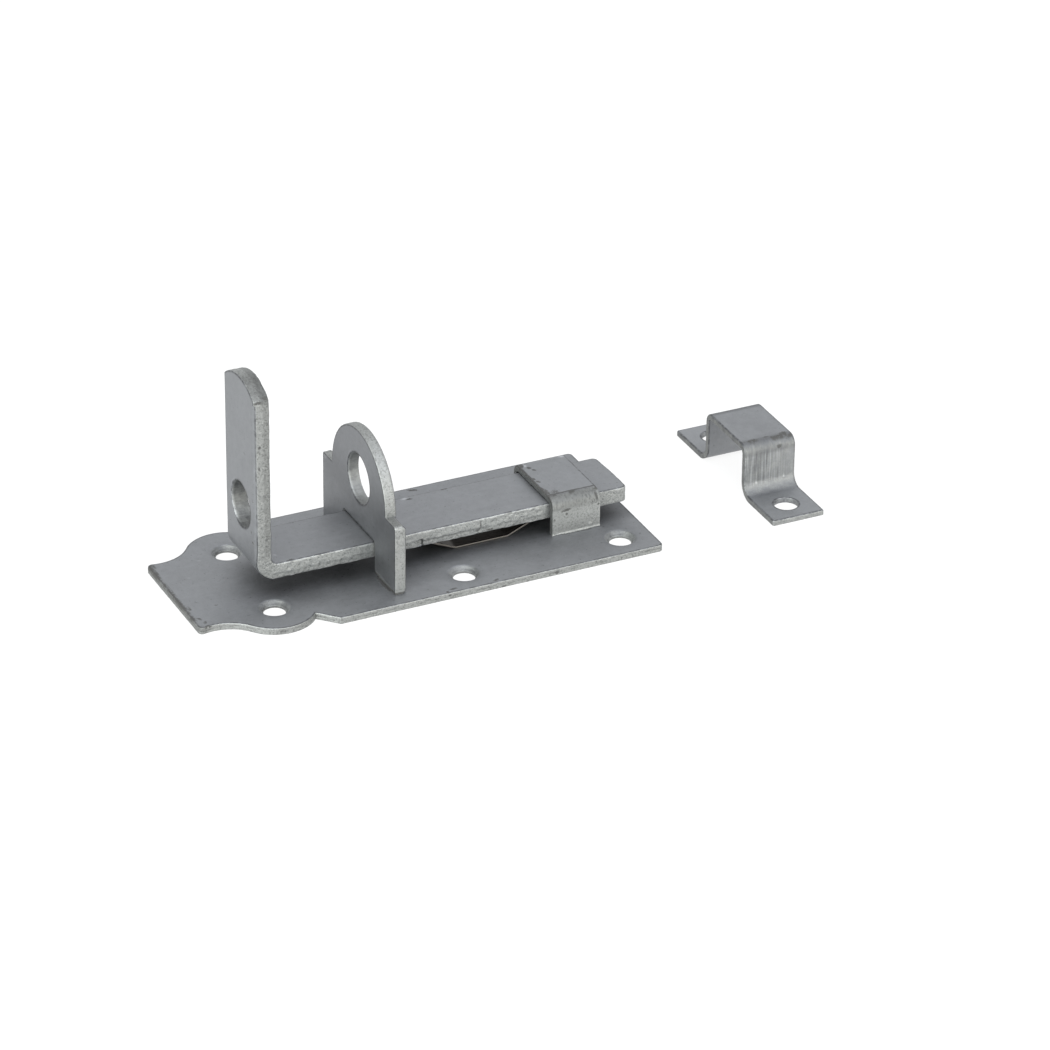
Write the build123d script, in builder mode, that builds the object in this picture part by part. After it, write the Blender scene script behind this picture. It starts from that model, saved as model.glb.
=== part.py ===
"""A padbolt: a flat steel bolt bent up into an arm, sliding across a stamped back plate.

The bolt runs through an upright padlock staple and a folded guide clip, with a leaf spring
under it. Thrown, its arm meets the staple, and a padlock goes through the hole of each. The keep
is a separate hat-shaped strap, in line with the bolt.

Millimetres. +X is the way the bolt is thrown, +Z points away from the door, and the origin is
in the middle of the plate's length and width, on the plate's underside.
"""

from math import sqrt
import os

from build123d import *

os.makedirs("parts", exist_ok=True)

# Back plate
plate_length = 100.0
plate_width = 44.0
plate_thickness = 1.5
plate_corner_radius = 1.0
plate_edge_roll = 0.25

# Ornamental tail of the back plate, at its -X end
tail_length = 27.5
tail_cusp_half_width = 18.0
tail_bulge_radius = 8.6
tail_flank_radius = 8.5
tail_waist_half_width = 14.0

# Screw holes of the back plate
screw_hole_radius = 2.3
screw_sink_radius = 3.35
screw_sink_angle = 90.0
end_hole_inset = 6.8
body_hole_spacing_x = 35.5
body_hole_spacing_y = 31.0
tail_hole_inset = 17.0
tail_hole_spacing_y = 25.0

# Bolt: a flat bar and the arm bent up from it
bolt_width = 15.0
bolt_thickness = 3.5
bolt_lift = 3.3
bolt_tip_setback = 1.35
bolt_tip_radius = 1.2
bolt_bend_radius = 1.3
bolt_edge_roll = 0.35
arm_height = 43.7
arm_crown_rise = 2.7
arm_hole_radius = 4.85
arm_gap = 22.4
bolt_nick_distance = 47.0
bolt_nick_width = 0.9
bolt_nick_depth = 0.5
bolt_nick_height = 1.7

# Padlock staple: an upright plate that straddles the bolt
staple_distance = 56.4
staple_thickness = 2.5
staple_width = 36.5
staple_shoulder_height = 15.5
staple_arch_radius = 13.5
staple_shoulder_radius = 0.8
staple_edge_roll = 0.35
staple_hole_radius = 5.4
window_side_clearance = 0.35
window_headroom = 0.3
window_corner_radius = 1.0

# Height of both padlock holes above the bolt's top face
padlock_hole_rise = 11.1

# Tenons: the feet of staple and clip go through slots in the plate and are peened into a bevel
tenon_width = 6.0
tenon_clearance = 0.05
peen_bevel = 0.4

# Guide clip: a strap folded over the bolt near its tip
clip_length = 11.0
clip_inset = 8.4
clip_thickness = 1.3
clip_side_clearance = 0.6
clip_headroom = 0.2
clip_fold_radius = 1.0

# Leaf spring: a strip under the bolt, resting on the plate
spring_thickness = 0.4
spring_width = 11.5
spring_flat_length = 12.0
spring_arm_reach = 6.3
spring_distance = 33.8
spring_bend_radius = 1.5
spring_tip_clearance = 0.1

# Keep: a hat-shaped strap that receives the bolt's tip
keep_strap_width = 12.0
keep_thickness = 1.2
keep_length = 44.4
keep_inner_height = 11.0
keep_side_clearance = 0.2
keep_top_fold_radius = 1.0
keep_foot_bend_radius = 2.5
keep_hole_radius = 2.6
keep_hole_spacing = 33.0
keep_distance = 25.4

# Places worked out from the sizes above
plate_end = plate_length / 2
bolt_bottom = plate_thickness + bolt_lift
bolt_top = bolt_bottom + bolt_thickness
bolt_tip = plate_end - bolt_tip_setback
padlock_hole_height = bolt_top + padlock_hole_rise
staple_back = plate_end - staple_distance
staple_front = staple_back - staple_thickness
arm_inner = staple_front - arm_gap
arm_outer = arm_inner - bolt_thickness
body_hole_centre_x = plate_end - end_hole_inset - body_hole_spacing_x / 2
tail_hole_x = -plate_end + tail_hole_inset
tail_hole_y = tail_hole_spacing_y / 2
window_half_width = bolt_width / 2 + window_side_clearance
window_top = bolt_top + window_headroom
staple_centre_x = staple_back - staple_thickness / 2
staple_tenon_spacing = staple_width / 2 + window_half_width
clip_inner_half_width = bolt_width / 2 + clip_side_clearance
clip_inner_top = bolt_top + clip_headroom
clip_right = plate_end - clip_inset
clip_left = clip_right - clip_length
clip_centre_x = clip_right - clip_length / 2
clip_tenon_spacing = 2 * clip_inner_half_width + clip_thickness
slot_growth = 2 * tenon_clearance

# The peened heads fill an even chamfer
even_chamfer_angle = 45


# Back plate
# Each side of the tail is a hollow flank that flows into a bulge round its screw hole, then a
# cusp and a short slanting edge up to the corner of the body.
flank_centre_y = tail_waist_half_width + tail_flank_radius
centre_distance = tail_bulge_radius + tail_flank_radius
flank_centre_x = tail_hole_x - sqrt(centre_distance**2 - (flank_centre_y - tail_hole_y) ** 2)
share = tail_bulge_radius / centre_distance
inflection = (
    tail_hole_x + share * (flank_centre_x - tail_hole_x),
    tail_hole_y + share * (flank_centre_y - tail_hole_y),
)
end_edge_reach = -plate_end - flank_centre_x
end_edge_half_width = flank_centre_y - sqrt(tail_flank_radius**2 - end_edge_reach**2)
cusp_reach = sqrt(tail_bulge_radius**2 - (tail_cusp_half_width - tail_hole_y) ** 2)
cusp = (tail_hole_x + cusp_reach, tail_cusp_half_width)

with BuildPart() as back_plate:
    with BuildSketch():
        with BuildLine():
            Line((-plate_end, 0), (-plate_end, end_edge_half_width))
            ThreePointArc(
                (-plate_end, end_edge_half_width),
                (flank_centre_x, tail_waist_half_width),
                inflection,
            )
            ThreePointArc(inflection, (tail_hole_x, tail_hole_y + tail_bulge_radius), cusp)
            Line(cusp, (-plate_end + tail_length, plate_width / 2))
            Line((-plate_end + tail_length, plate_width / 2), (plate_end, plate_width / 2))
            Line((plate_end, plate_width / 2), (plate_end, 0))
            mirror(about=Plane.XZ)
        make_face()
    extrude(amount=plate_thickness)
    fillet(back_plate.edges().filter_by(Axis.Z).group_by(Axis.X)[0], radius=plate_corner_radius)
    fillet(back_plate.edges().filter_by(Axis.Z).group_by(Axis.X)[-1], radius=plate_corner_radius)
    top_rim = back_plate.faces().sort_by(Axis.Z)[-1].outer_wire().edges()
    chamfer(top_rim, length=plate_edge_roll)
    with Locations((body_hole_centre_x, 0, plate_thickness)):
        with GridLocations(body_hole_spacing_x, body_hole_spacing_y, 2, 2):
            CounterSinkHole(
                radius=screw_hole_radius,
                counter_sink_radius=screw_sink_radius,
                counter_sink_angle=screw_sink_angle,
            )
    with Locations((tail_hole_x, 0, plate_thickness)):
        with GridLocations(plate_length, tail_hole_spacing_y, 1, 2):
            CounterSinkHole(
                radius=screw_hole_radius,
                counter_sink_radius=screw_sink_radius,
                counter_sink_angle=screw_sink_angle,
            )
    with BuildSketch() as slots:
        with Locations((staple_centre_x, 0)):
            with GridLocations(plate_length, staple_tenon_spacing, 1, 2):
                Rectangle(staple_thickness + slot_growth, tenon_width + slot_growth)
        with Locations((clip_centre_x, 0)):
            with GridLocations(plate_length, clip_tenon_spacing, 1, 2):
                Rectangle(tenon_width + slot_growth, clip_thickness + slot_growth)
    extrude(amount=plate_thickness, mode=Mode.SUBTRACT)
    underside = back_plate.faces().sort_by(Axis.Z)[0]
    slot_edges = [wire.edges() for wire in underside.inner_wires() if len(wire.edges()) == 4]
    chamfer(slot_edges, length=peen_bevel)
back_plate.part.label = "back_plate"
export_step(back_plate.part, "parts/back_plate.step")


# Bolt
arm_top = bolt_bottom + arm_height
arm_side_height = arm_top - arm_crown_rise
nick_x = bolt_tip - bolt_nick_distance

with BuildPart() as bolt:
    with BuildSketch(Plane.XZ) as bar_profile:
        with BuildLine():
            Polyline(
                (bolt_tip, bolt_bottom),
                (bolt_tip, bolt_top),
                (arm_inner, bolt_top),
                (arm_inner, arm_top),
                (arm_outer, arm_top),
                (arm_outer, bolt_bottom),
                close=True,
            )
        make_face()
        inside_corner = bar_profile.vertices().sort_by_distance((arm_inner, bolt_top))[0]
        fillet(inside_corner, radius=bolt_bend_radius)
        outside_corner = bar_profile.vertices().sort_by_distance((arm_outer, bolt_bottom))[0]
        fillet(outside_corner, radius=bolt_bend_radius + bolt_thickness)
    extrude(amount=bolt_width / 2, both=True)
    with BuildSketch(Plane.YZ.offset(arm_outer)):
        with BuildLine():
            ThreePointArc(
                (-bolt_width / 2, arm_side_height),
                (0, arm_top),
                (bolt_width / 2, arm_side_height),
            )
            Polyline(
                (bolt_width / 2, arm_side_height),
                (bolt_width / 2, arm_top + arm_crown_rise),
                (-bolt_width / 2, arm_top + arm_crown_rise),
                (-bolt_width / 2, arm_side_height),
            )
        make_face()
    extrude(amount=bolt_thickness, mode=Mode.SUBTRACT)
    tip_corners = bolt.edges().filter_by(Axis.Z).group_by(Axis.X)[-1]
    fillet(tip_corners, radius=bolt_tip_radius)
    side_edges = bolt.faces().filter_by(Axis.Y).edges()
    fillet(side_edges.filter_by(lambda edge: edge.length > bolt_thickness * 1.01), radius=bolt_edge_roll)
    with BuildSketch(Plane.YZ.offset(arm_outer)):
        with Locations((0, padlock_hole_height)):
            Circle(arm_hole_radius)
    extrude(amount=bolt_thickness, mode=Mode.SUBTRACT)
    with BuildSketch(Plane.XY.offset(bolt_bottom)):
        with Locations((nick_x, -bolt_width / 2)):
            Rectangle(bolt_nick_width, 2 * bolt_nick_depth)
    extrude(amount=bolt_nick_height, mode=Mode.SUBTRACT)
bolt.part.label = "bolt"
export_step(bolt.part, "parts/bolt.step")


# Padlock staple
staple_shoulder_z = plate_thickness + staple_shoulder_height

with BuildPart() as padlock_staple:
    with BuildSketch(Plane.YZ.offset(staple_front)) as staple_outline:
        with BuildLine():
            ThreePointArc(
                (-staple_arch_radius, staple_shoulder_z),
                (0, staple_shoulder_z + staple_arch_radius),
                (staple_arch_radius, staple_shoulder_z),
            )
            Polyline(
                (staple_arch_radius, staple_shoulder_z),
                (staple_width / 2, staple_shoulder_z),
                (staple_width / 2, plate_thickness),
                (window_half_width, plate_thickness),
                (window_half_width, window_top),
                (-window_half_width, window_top),
                (-window_half_width, plate_thickness),
                (-staple_width / 2, plate_thickness),
                (-staple_width / 2, staple_shoulder_z),
                (-staple_arch_radius, staple_shoulder_z),
            )
        make_face()
        outline_corners = staple_outline.vertices()
        shoulder_corners = outline_corners.filter_by(
            lambda corner: abs(abs(corner.X) - staple_width / 2) < 0.01 and corner.Y > window_top
        )
        window_corners = outline_corners.filter_by(lambda corner: abs(corner.Y - window_top) < 0.01)
        fillet(shoulder_corners, radius=staple_shoulder_radius)
        fillet(window_corners, radius=window_corner_radius)
    extrude(amount=staple_thickness)
    rolled_edges = padlock_staple.faces().filter_by(Axis.X).edges()
    fillet(
        rolled_edges.filter_by(lambda edge: edge.center().Z > window_top + window_corner_radius),
        radius=staple_edge_roll,
    )
    with BuildSketch(Plane.YZ.offset(staple_front)):
        with Locations((0, padlock_hole_height)):
            Circle(staple_hole_radius)
    extrude(amount=staple_thickness, mode=Mode.SUBTRACT)
    for tenon_top, head_taper in ((plate_thickness, 0), (peen_bevel, -even_chamfer_angle)):
        with BuildSketch(Plane.XY.offset(tenon_top)):
            with Locations((staple_centre_x, 0)):
                with GridLocations(plate_length, staple_tenon_spacing, 1, 2):
                    Rectangle(staple_thickness, tenon_width)
        extrude(amount=-tenon_top, taper=head_taper)
padlock_staple.part.label = "padlock_staple"
export_step(padlock_staple.part, "parts/padlock_staple.step")


# Guide clip
with BuildPart() as guide_clip:
    with BuildSketch(Plane.YZ.offset(clip_left)):
        with BuildLine():
            FilletPolyline(
                (-clip_inner_half_width, plate_thickness),
                (-clip_inner_half_width, clip_inner_top),
                (clip_inner_half_width, clip_inner_top),
                (clip_inner_half_width, plate_thickness),
                radius=clip_fold_radius,
            )
            offset(amount=clip_thickness, side=Side.LEFT)
        make_face()
    extrude(amount=clip_length)
    for tenon_top, head_taper in ((plate_thickness, 0), (peen_bevel, -even_chamfer_angle)):
        with BuildSketch(Plane.XY.offset(tenon_top)):
            with Locations((clip_centre_x, 0)):
                with GridLocations(plate_length, clip_tenon_spacing, 1, 2):
                    Rectangle(tenon_width, clip_thickness)
        extrude(amount=-tenon_top, taper=head_taper)
guide_clip.part.label = "guide_clip"
export_step(guide_clip.part, "parts/guide_clip.step")


# Leaf spring
spring_centre = plate_end - spring_distance
spring_rise = bolt_bottom - spring_tip_clearance - spring_thickness
spring_flat_half = spring_flat_length / 2
spring_reach = spring_flat_half + spring_arm_reach

with BuildPart() as leaf_spring:
    with BuildSketch(Plane.XZ):
        with BuildLine():
            FilletPolyline(
                (spring_centre - spring_reach, spring_rise),
                (spring_centre - spring_flat_half, plate_thickness),
                (spring_centre + spring_flat_half, plate_thickness),
                (spring_centre + spring_reach, spring_rise),
                radius=spring_bend_radius,
            )
            offset(amount=spring_thickness, side=Side.LEFT)
        make_face()
    extrude(amount=spring_width / 2, both=True)
leaf_spring.part.label = "leaf_spring"
export_step(leaf_spring.part, "parts/leaf_spring.step")


# Keep
keep_left = plate_end + keep_distance
keep_inner_half_width = bolt_width / 2 + keep_side_clearance
keep_foot_end = keep_length / 2

with BuildPart() as keep:
    with BuildSketch(Plane.YZ.offset(keep_left)):
        with BuildLine():
            FilletPolyline(
                (-keep_foot_end, 0),
                (-keep_inner_half_width, 0),
                (-keep_inner_half_width, keep_inner_height),
                (keep_inner_half_width, keep_inner_height),
                (keep_inner_half_width, 0),
                (keep_foot_end, 0),
                radius=[
                    keep_foot_bend_radius + keep_thickness,
                    keep_top_fold_radius,
                    keep_top_fold_radius,
                    keep_foot_bend_radius + keep_thickness,
                ],
            )
            offset(amount=keep_thickness, side=Side.LEFT)
        make_face()
    extrude(amount=keep_strap_width)
    with Locations((keep_left + keep_strap_width / 2, 0, keep_thickness)):
        with GridLocations(keep_strap_width, keep_hole_spacing, 1, 2):
            Hole(radius=keep_hole_radius, depth=keep_thickness)
keep.part.label = "keep"
export_step(keep.part, "parts/keep.step")
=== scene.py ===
"""The looks of a padbolt: a plated sliding bolt on its stamped back plate, and the keep beside it.

Each piece is first a flat blank, as the real one is: an outline with holes, and a profile carried
along every rim. The blank gets its hammer marks, die lines and burrs while it is flat, and is then
bent along a line of straight runs and arcs. Sizes are in millimetres, and meshes are in metres.
"""

import logging
import math
from dataclasses import dataclass, field
from enum import Enum
from itertools import product

import bpy
import numpy as np
from mathutils import Matrix, Vector
from mathutils.geometry import delaunay_2d_cdt


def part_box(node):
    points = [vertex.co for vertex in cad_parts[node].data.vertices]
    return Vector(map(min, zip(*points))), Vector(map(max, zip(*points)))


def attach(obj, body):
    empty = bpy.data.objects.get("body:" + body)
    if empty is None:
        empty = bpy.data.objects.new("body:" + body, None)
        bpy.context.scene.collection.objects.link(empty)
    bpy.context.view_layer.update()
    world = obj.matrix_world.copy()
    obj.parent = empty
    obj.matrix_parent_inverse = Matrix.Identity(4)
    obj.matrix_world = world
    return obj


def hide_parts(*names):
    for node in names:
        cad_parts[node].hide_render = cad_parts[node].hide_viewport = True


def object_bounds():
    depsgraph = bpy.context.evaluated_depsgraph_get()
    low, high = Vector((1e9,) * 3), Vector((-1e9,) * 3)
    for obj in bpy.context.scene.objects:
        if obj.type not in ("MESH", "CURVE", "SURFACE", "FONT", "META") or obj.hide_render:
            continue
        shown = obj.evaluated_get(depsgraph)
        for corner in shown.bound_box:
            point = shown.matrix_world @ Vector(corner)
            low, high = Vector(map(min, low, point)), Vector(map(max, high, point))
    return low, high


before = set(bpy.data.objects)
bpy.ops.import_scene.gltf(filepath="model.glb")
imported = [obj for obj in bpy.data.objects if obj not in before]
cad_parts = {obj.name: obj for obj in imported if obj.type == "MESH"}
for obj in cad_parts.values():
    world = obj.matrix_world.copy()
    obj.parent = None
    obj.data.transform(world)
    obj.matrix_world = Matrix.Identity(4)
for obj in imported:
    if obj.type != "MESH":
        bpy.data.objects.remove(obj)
cad_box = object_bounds()

log = logging.getLogger("padbolt")

MM = 0.001
BASE = "base"
SLIDER = "sliding_bolt"
QUARTER = math.pi / 2
SHARP_FROM = 40.0


class Slot(Enum):
    """The record's material slots."""

    ZINC = "zinc_plated_steel"
    SPRING = "spring_steel"


def extent(node: str) -> np.ndarray:
    """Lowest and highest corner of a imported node, as two rows in millimetres."""
    return np.array([list(corner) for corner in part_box(node)]) / MM


# Smooth noise

@dataclass(frozen=True)
class Mottle:
    """Smooth noise on a lattice, the same in every run.

    The hashed values of the corners of a point's lattice cell, from -1 to 1, are blended along each
    axis with the weight 3t² - 2t³. Each further octave has cells half as large and half as strong.
    """

    cell: float
    seed: int = 0
    octaves: int = 1

    def at(self, points: np.ndarray) -> np.ndarray:
        """Noise at each point.

        Args:
            points: an (n, 2) or (n, 3) array, in the unit of cell.

        Returns:
            n values, mostly between -1 and 1.
        """
        total = np.zeros(len(points))
        for octave in range(self.octaves):
            scaled = points / self.cell * 2.0**octave + 37.0 * octave
            low = np.floor(scaled).astype(np.int64)
            part = scaled - low
            blend = part * part * (3.0 - 2.0 * part)
            for corner in product((0, 1), repeat=points.shape[1]):
                weight = np.prod(np.where(np.array(corner) == 1, blend, 1.0 - blend), axis=1)
                total += weight * self.hashed(low + np.array(corner)) / 2.0**octave
        return total

    def hashed(self, cells: np.ndarray) -> np.ndarray:
        """A value from -1 to 1 for each lattice corner, by mixing the bits of its whole numbers."""
        primes = np.array([73856093, 19349663, 83492791])[: cells.shape[1]]
        mixed = np.bitwise_xor.reduce(cells * primes, axis=1) + self.seed * 2654435761
        mixed = (mixed ^ (mixed >> 13)) * 1274126177
        mixed = mixed ^ (mixed >> 16)
        return (mixed & 0xFFFF) / 32767.5 - 1.0


def bump(distance: np.ndarray, reach: float) -> np.ndarray:
    """A soft hill: 1 at distance 0, falling as (1 - (d / reach)²)² to 0 at reach and beyond."""
    return np.clip(1.0 - (distance / reach) ** 2, 0.0, 1.0) ** 2


def slope(values: np.ndarray, low: float, high: float) -> np.ndarray:
    """Smooth step: 0 at low, 1 at high, and 3t² - 2t³ between them."""
    share = np.clip((values - low) / (high - low), 0.0, 1.0)
    return share * share * (3.0 - 2.0 * share)


# Outlines and rim profiles on the flat blank

def arc(centre: tuple[float, float], radius: float, start: float, end: float, step: float) -> np.ndarray:
    """Points round a centre: centre plus radius times (cosine, sine) of an evenly spread angle.

    Args:
        centre: middle of the arc.
        radius: its radius.
        start: first angle in degrees.
        end: last angle in degrees, lower than start for a clockwise arc.
        step: longest distance between neighbours.

    Returns:
        An (n, 2) array, both ends included.
    """
    sweep = math.radians(end - start)
    count = max(3, math.ceil(abs(sweep) * radius / step) + 1)
    angle = math.radians(start) + np.linspace(0.0, sweep, count)
    return np.array(centre) + radius * np.stack([np.cos(angle), np.sin(angle)], axis=1)


def outline(step: float, *stretches: np.ndarray | tuple[float, float]) -> np.ndarray:
    """A closed outline through corners and arcs, its straight gaps divided evenly.

    Args:
        step: wanted distance between neighbours on the straight gaps.
        stretches: corner points and arrays of arc points, anticlockwise.

    Returns:
        An (n, 2) array without a repeated point.
    """
    corners = np.concatenate([np.atleast_2d(stretch) for stretch in stretches]).astype(float)
    onward = np.roll(corners, -1, axis=0) - corners
    apart = np.hypot(onward[:, 0], onward[:, 1]) > 1e-6
    corners = corners[apart]
    onward = np.roll(corners, -1, axis=0) - corners
    counts = np.maximum(1, np.rint(np.hypot(onward[:, 0], onward[:, 1]) / step)).astype(int)
    index = np.repeat(np.arange(len(corners)), counts)
    within = np.arange(counts.sum()) - np.repeat(np.cumsum(counts) - counts, counts)
    return corners[index] + onward[index] * (within / counts[index])[:, None]


def rounded_box(
    low: tuple[float, float], high: tuple[float, float], radius: float, step: float
) -> np.ndarray:
    """A rectangle's outline with a quarter round at each corner, anticlockwise from its lower left."""
    (left, bottom), (right, top) = low, high
    return outline(
        step,
        arc((left + radius, bottom + radius), radius, 180, 270, step),
        arc((right - radius, bottom + radius), radius, 270, 360, step),
        arc((right - radius, top - radius), radius, 0, 90, step),
        arc((left + radius, top - radius), radius, 90, 180, step),
    )


def circle(centre: tuple[float, float], radius: float, step: float) -> np.ndarray:
    """A full circle's outline, anticlockwise."""
    return outline(step, arc(centre, radius, 0, 360, step))


def edge_section(thickness: float, top_roll: float, foot_roll: float, rows: int = 7) -> np.ndarray:
    """Profile of a cut rim from the underside to the top: a quarter round, a wall, a quarter round.

    Args:
        thickness: the sheet's thickness.
        top_roll: radius of the upper round, 0 or more.
        foot_roll: radius of the lower one.
        rows: points up the wall.

    Returns:
        An (m, 2) array of the distance into the metal and the height.
    """
    angle = np.linspace(0.0, QUARTER, 5)[:-1]
    foot = foot_roll * np.stack([1 - np.sin(angle), 1 - np.cos(angle)], axis=1)
    wall = np.linspace(foot_roll, thickness - top_roll, rows)
    angle = np.linspace(0.0, QUARTER, 6)[1:]
    top = np.array([0.0, thickness]) + top_roll * np.stack([1 - np.cos(angle), np.sin(angle) - 1], axis=1)
    return np.concatenate([foot, np.stack([0 * wall, wall], axis=1), top])


def sunk_section(thickness: float, sink_width: float, lip: float) -> np.ndarray:
    """Profile of a countersunk hole: a short bore, a cone of 45 degrees and a soft lip at the top."""
    chamfer = 0.08
    bore = np.linspace(chamfer, thickness - sink_width, 4)
    cone = np.linspace(0.0, sink_width - lip, 6)[1:]
    turn = np.linspace(0.0, 1.0, 6)[1:]
    outwards = sink_width - lip + lip * turn * (1 + turn)
    return np.concatenate(
        [
            [[chamfer, 0.0]],
            np.stack([0 * bore, bore], axis=1),
            np.stack([cone, thickness - sink_width + cone], axis=1),
            np.stack([outwards, thickness - lip * (1 - turn) ** 2], axis=1),
        ]
    )


def tenon(
    place: tuple[float, float], width: float, depth: float, bevel: float, turn: float
) -> np.ndarray:
    """Outline of a tenon that stands out from a blank's edge, its end spread by peening.

    With no turn, the edge runs along the first axis with the metal above it.

    Args:
        place: where the tenon's middle leaves the edge.
        width: its width.
        depth: how far it stands out.
        bevel: how far its end is spread at each side, over as much of its depth.
        turn: degrees by which it is turned about its place.

    Returns:
        Six corners, anticlockwise round the blank.
    """
    half, cosine, sine = width / 2.0, math.cos(math.radians(turn)), math.sin(math.radians(turn))
    corners = np.array(
        [
            (-half, 0.0),
            (-half, bevel - depth),
            (-half - bevel, -depth),
            (half + bevel, -depth),
            (half, bevel - depth),
            (half, 0.0),
        ]
    )
    return corners @ np.array([[cosine, sine], [-sine, cosine]]) + np.array(place)


def inward_normals(loop: np.ndarray, hole: bool) -> np.ndarray:
    """Vectors from each point of an anticlockwise loop into the metal, which move its edges by 1.

    At a point, it is the mean of the left normals of the two edges that meet there, divided by the
    square of that mean's length, and the opposite of it at a hole.
    """
    along = np.roll(loop, -1, axis=0) - loop
    along /= np.hypot(along[:, 0], along[:, 1])[:, None]
    left = np.stack([-along[:, 1], along[:, 0]], axis=1)
    mean = (left + np.roll(left, 1, axis=0)) / 2.0
    mitre = mean / (mean**2).sum(axis=1)[:, None]
    return -mitre if hole else mitre


def inside(points: np.ndarray, loops: list[np.ndarray]) -> np.ndarray:
    """Whether each point lies in the metal.

    A line to the right of such a point crosses the loops an odd number of times.
    """
    start = np.concatenate(loops)
    end = np.concatenate([np.roll(loop, -1, axis=0) for loop in loops])
    rise = np.where(end[:, 1] == start[:, 1], 1.0, end[:, 1] - start[:, 1])
    lean = (end[:, 0] - start[:, 0]) / rise
    odd = [
        np.sum(
            ((start[:, 1] > y) != (end[:, 1] > y)) & (x < start[:, 0] + (y - start[:, 1]) * lean),
            axis=1,
        )
        % 2
        == 1
        for x, y in ((part[:, :1], part[:, 1:]) for part in np.array_split(points, len(points) // 2000 + 1))
    ]
    return np.concatenate(odd)


def nearest(points: np.ndarray, loops: list[np.ndarray]) -> np.ndarray:
    """Distance from each point to the nearest point of the loops."""
    rims = np.concatenate(loops).astype(np.float32)
    parts = np.array_split(points.astype(np.float32), len(points) // 1000 + 1)
    return np.concatenate(
        [np.sqrt(((part[:, None, :] - rims[None]) ** 2).sum(axis=2).min(axis=1)) for part in parts]
    )


class Face(Enum):
    """The faces of a blank that a mark can lie on."""

    TOP = "top"
    UNDER = "under"
    NEAR_RIM = "near rim"


@dataclass(frozen=True)
class Mark:
    """An oval mark on a blank, with soil, a change of tone and a dent that are deepest in its middle.

    where is (along, across) on a face, and (along, height) on the rim at the blank's near side. size is
    the half length and half width, and turn the degrees from the blank's length to the oval's.
    """

    face: Face
    where: tuple[float, float]
    size: tuple[float, float]
    turn: float = 0.0
    soil_and_shadow: float = 0.0
    tone: float = 0.0
    dent: float = 0.0


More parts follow.
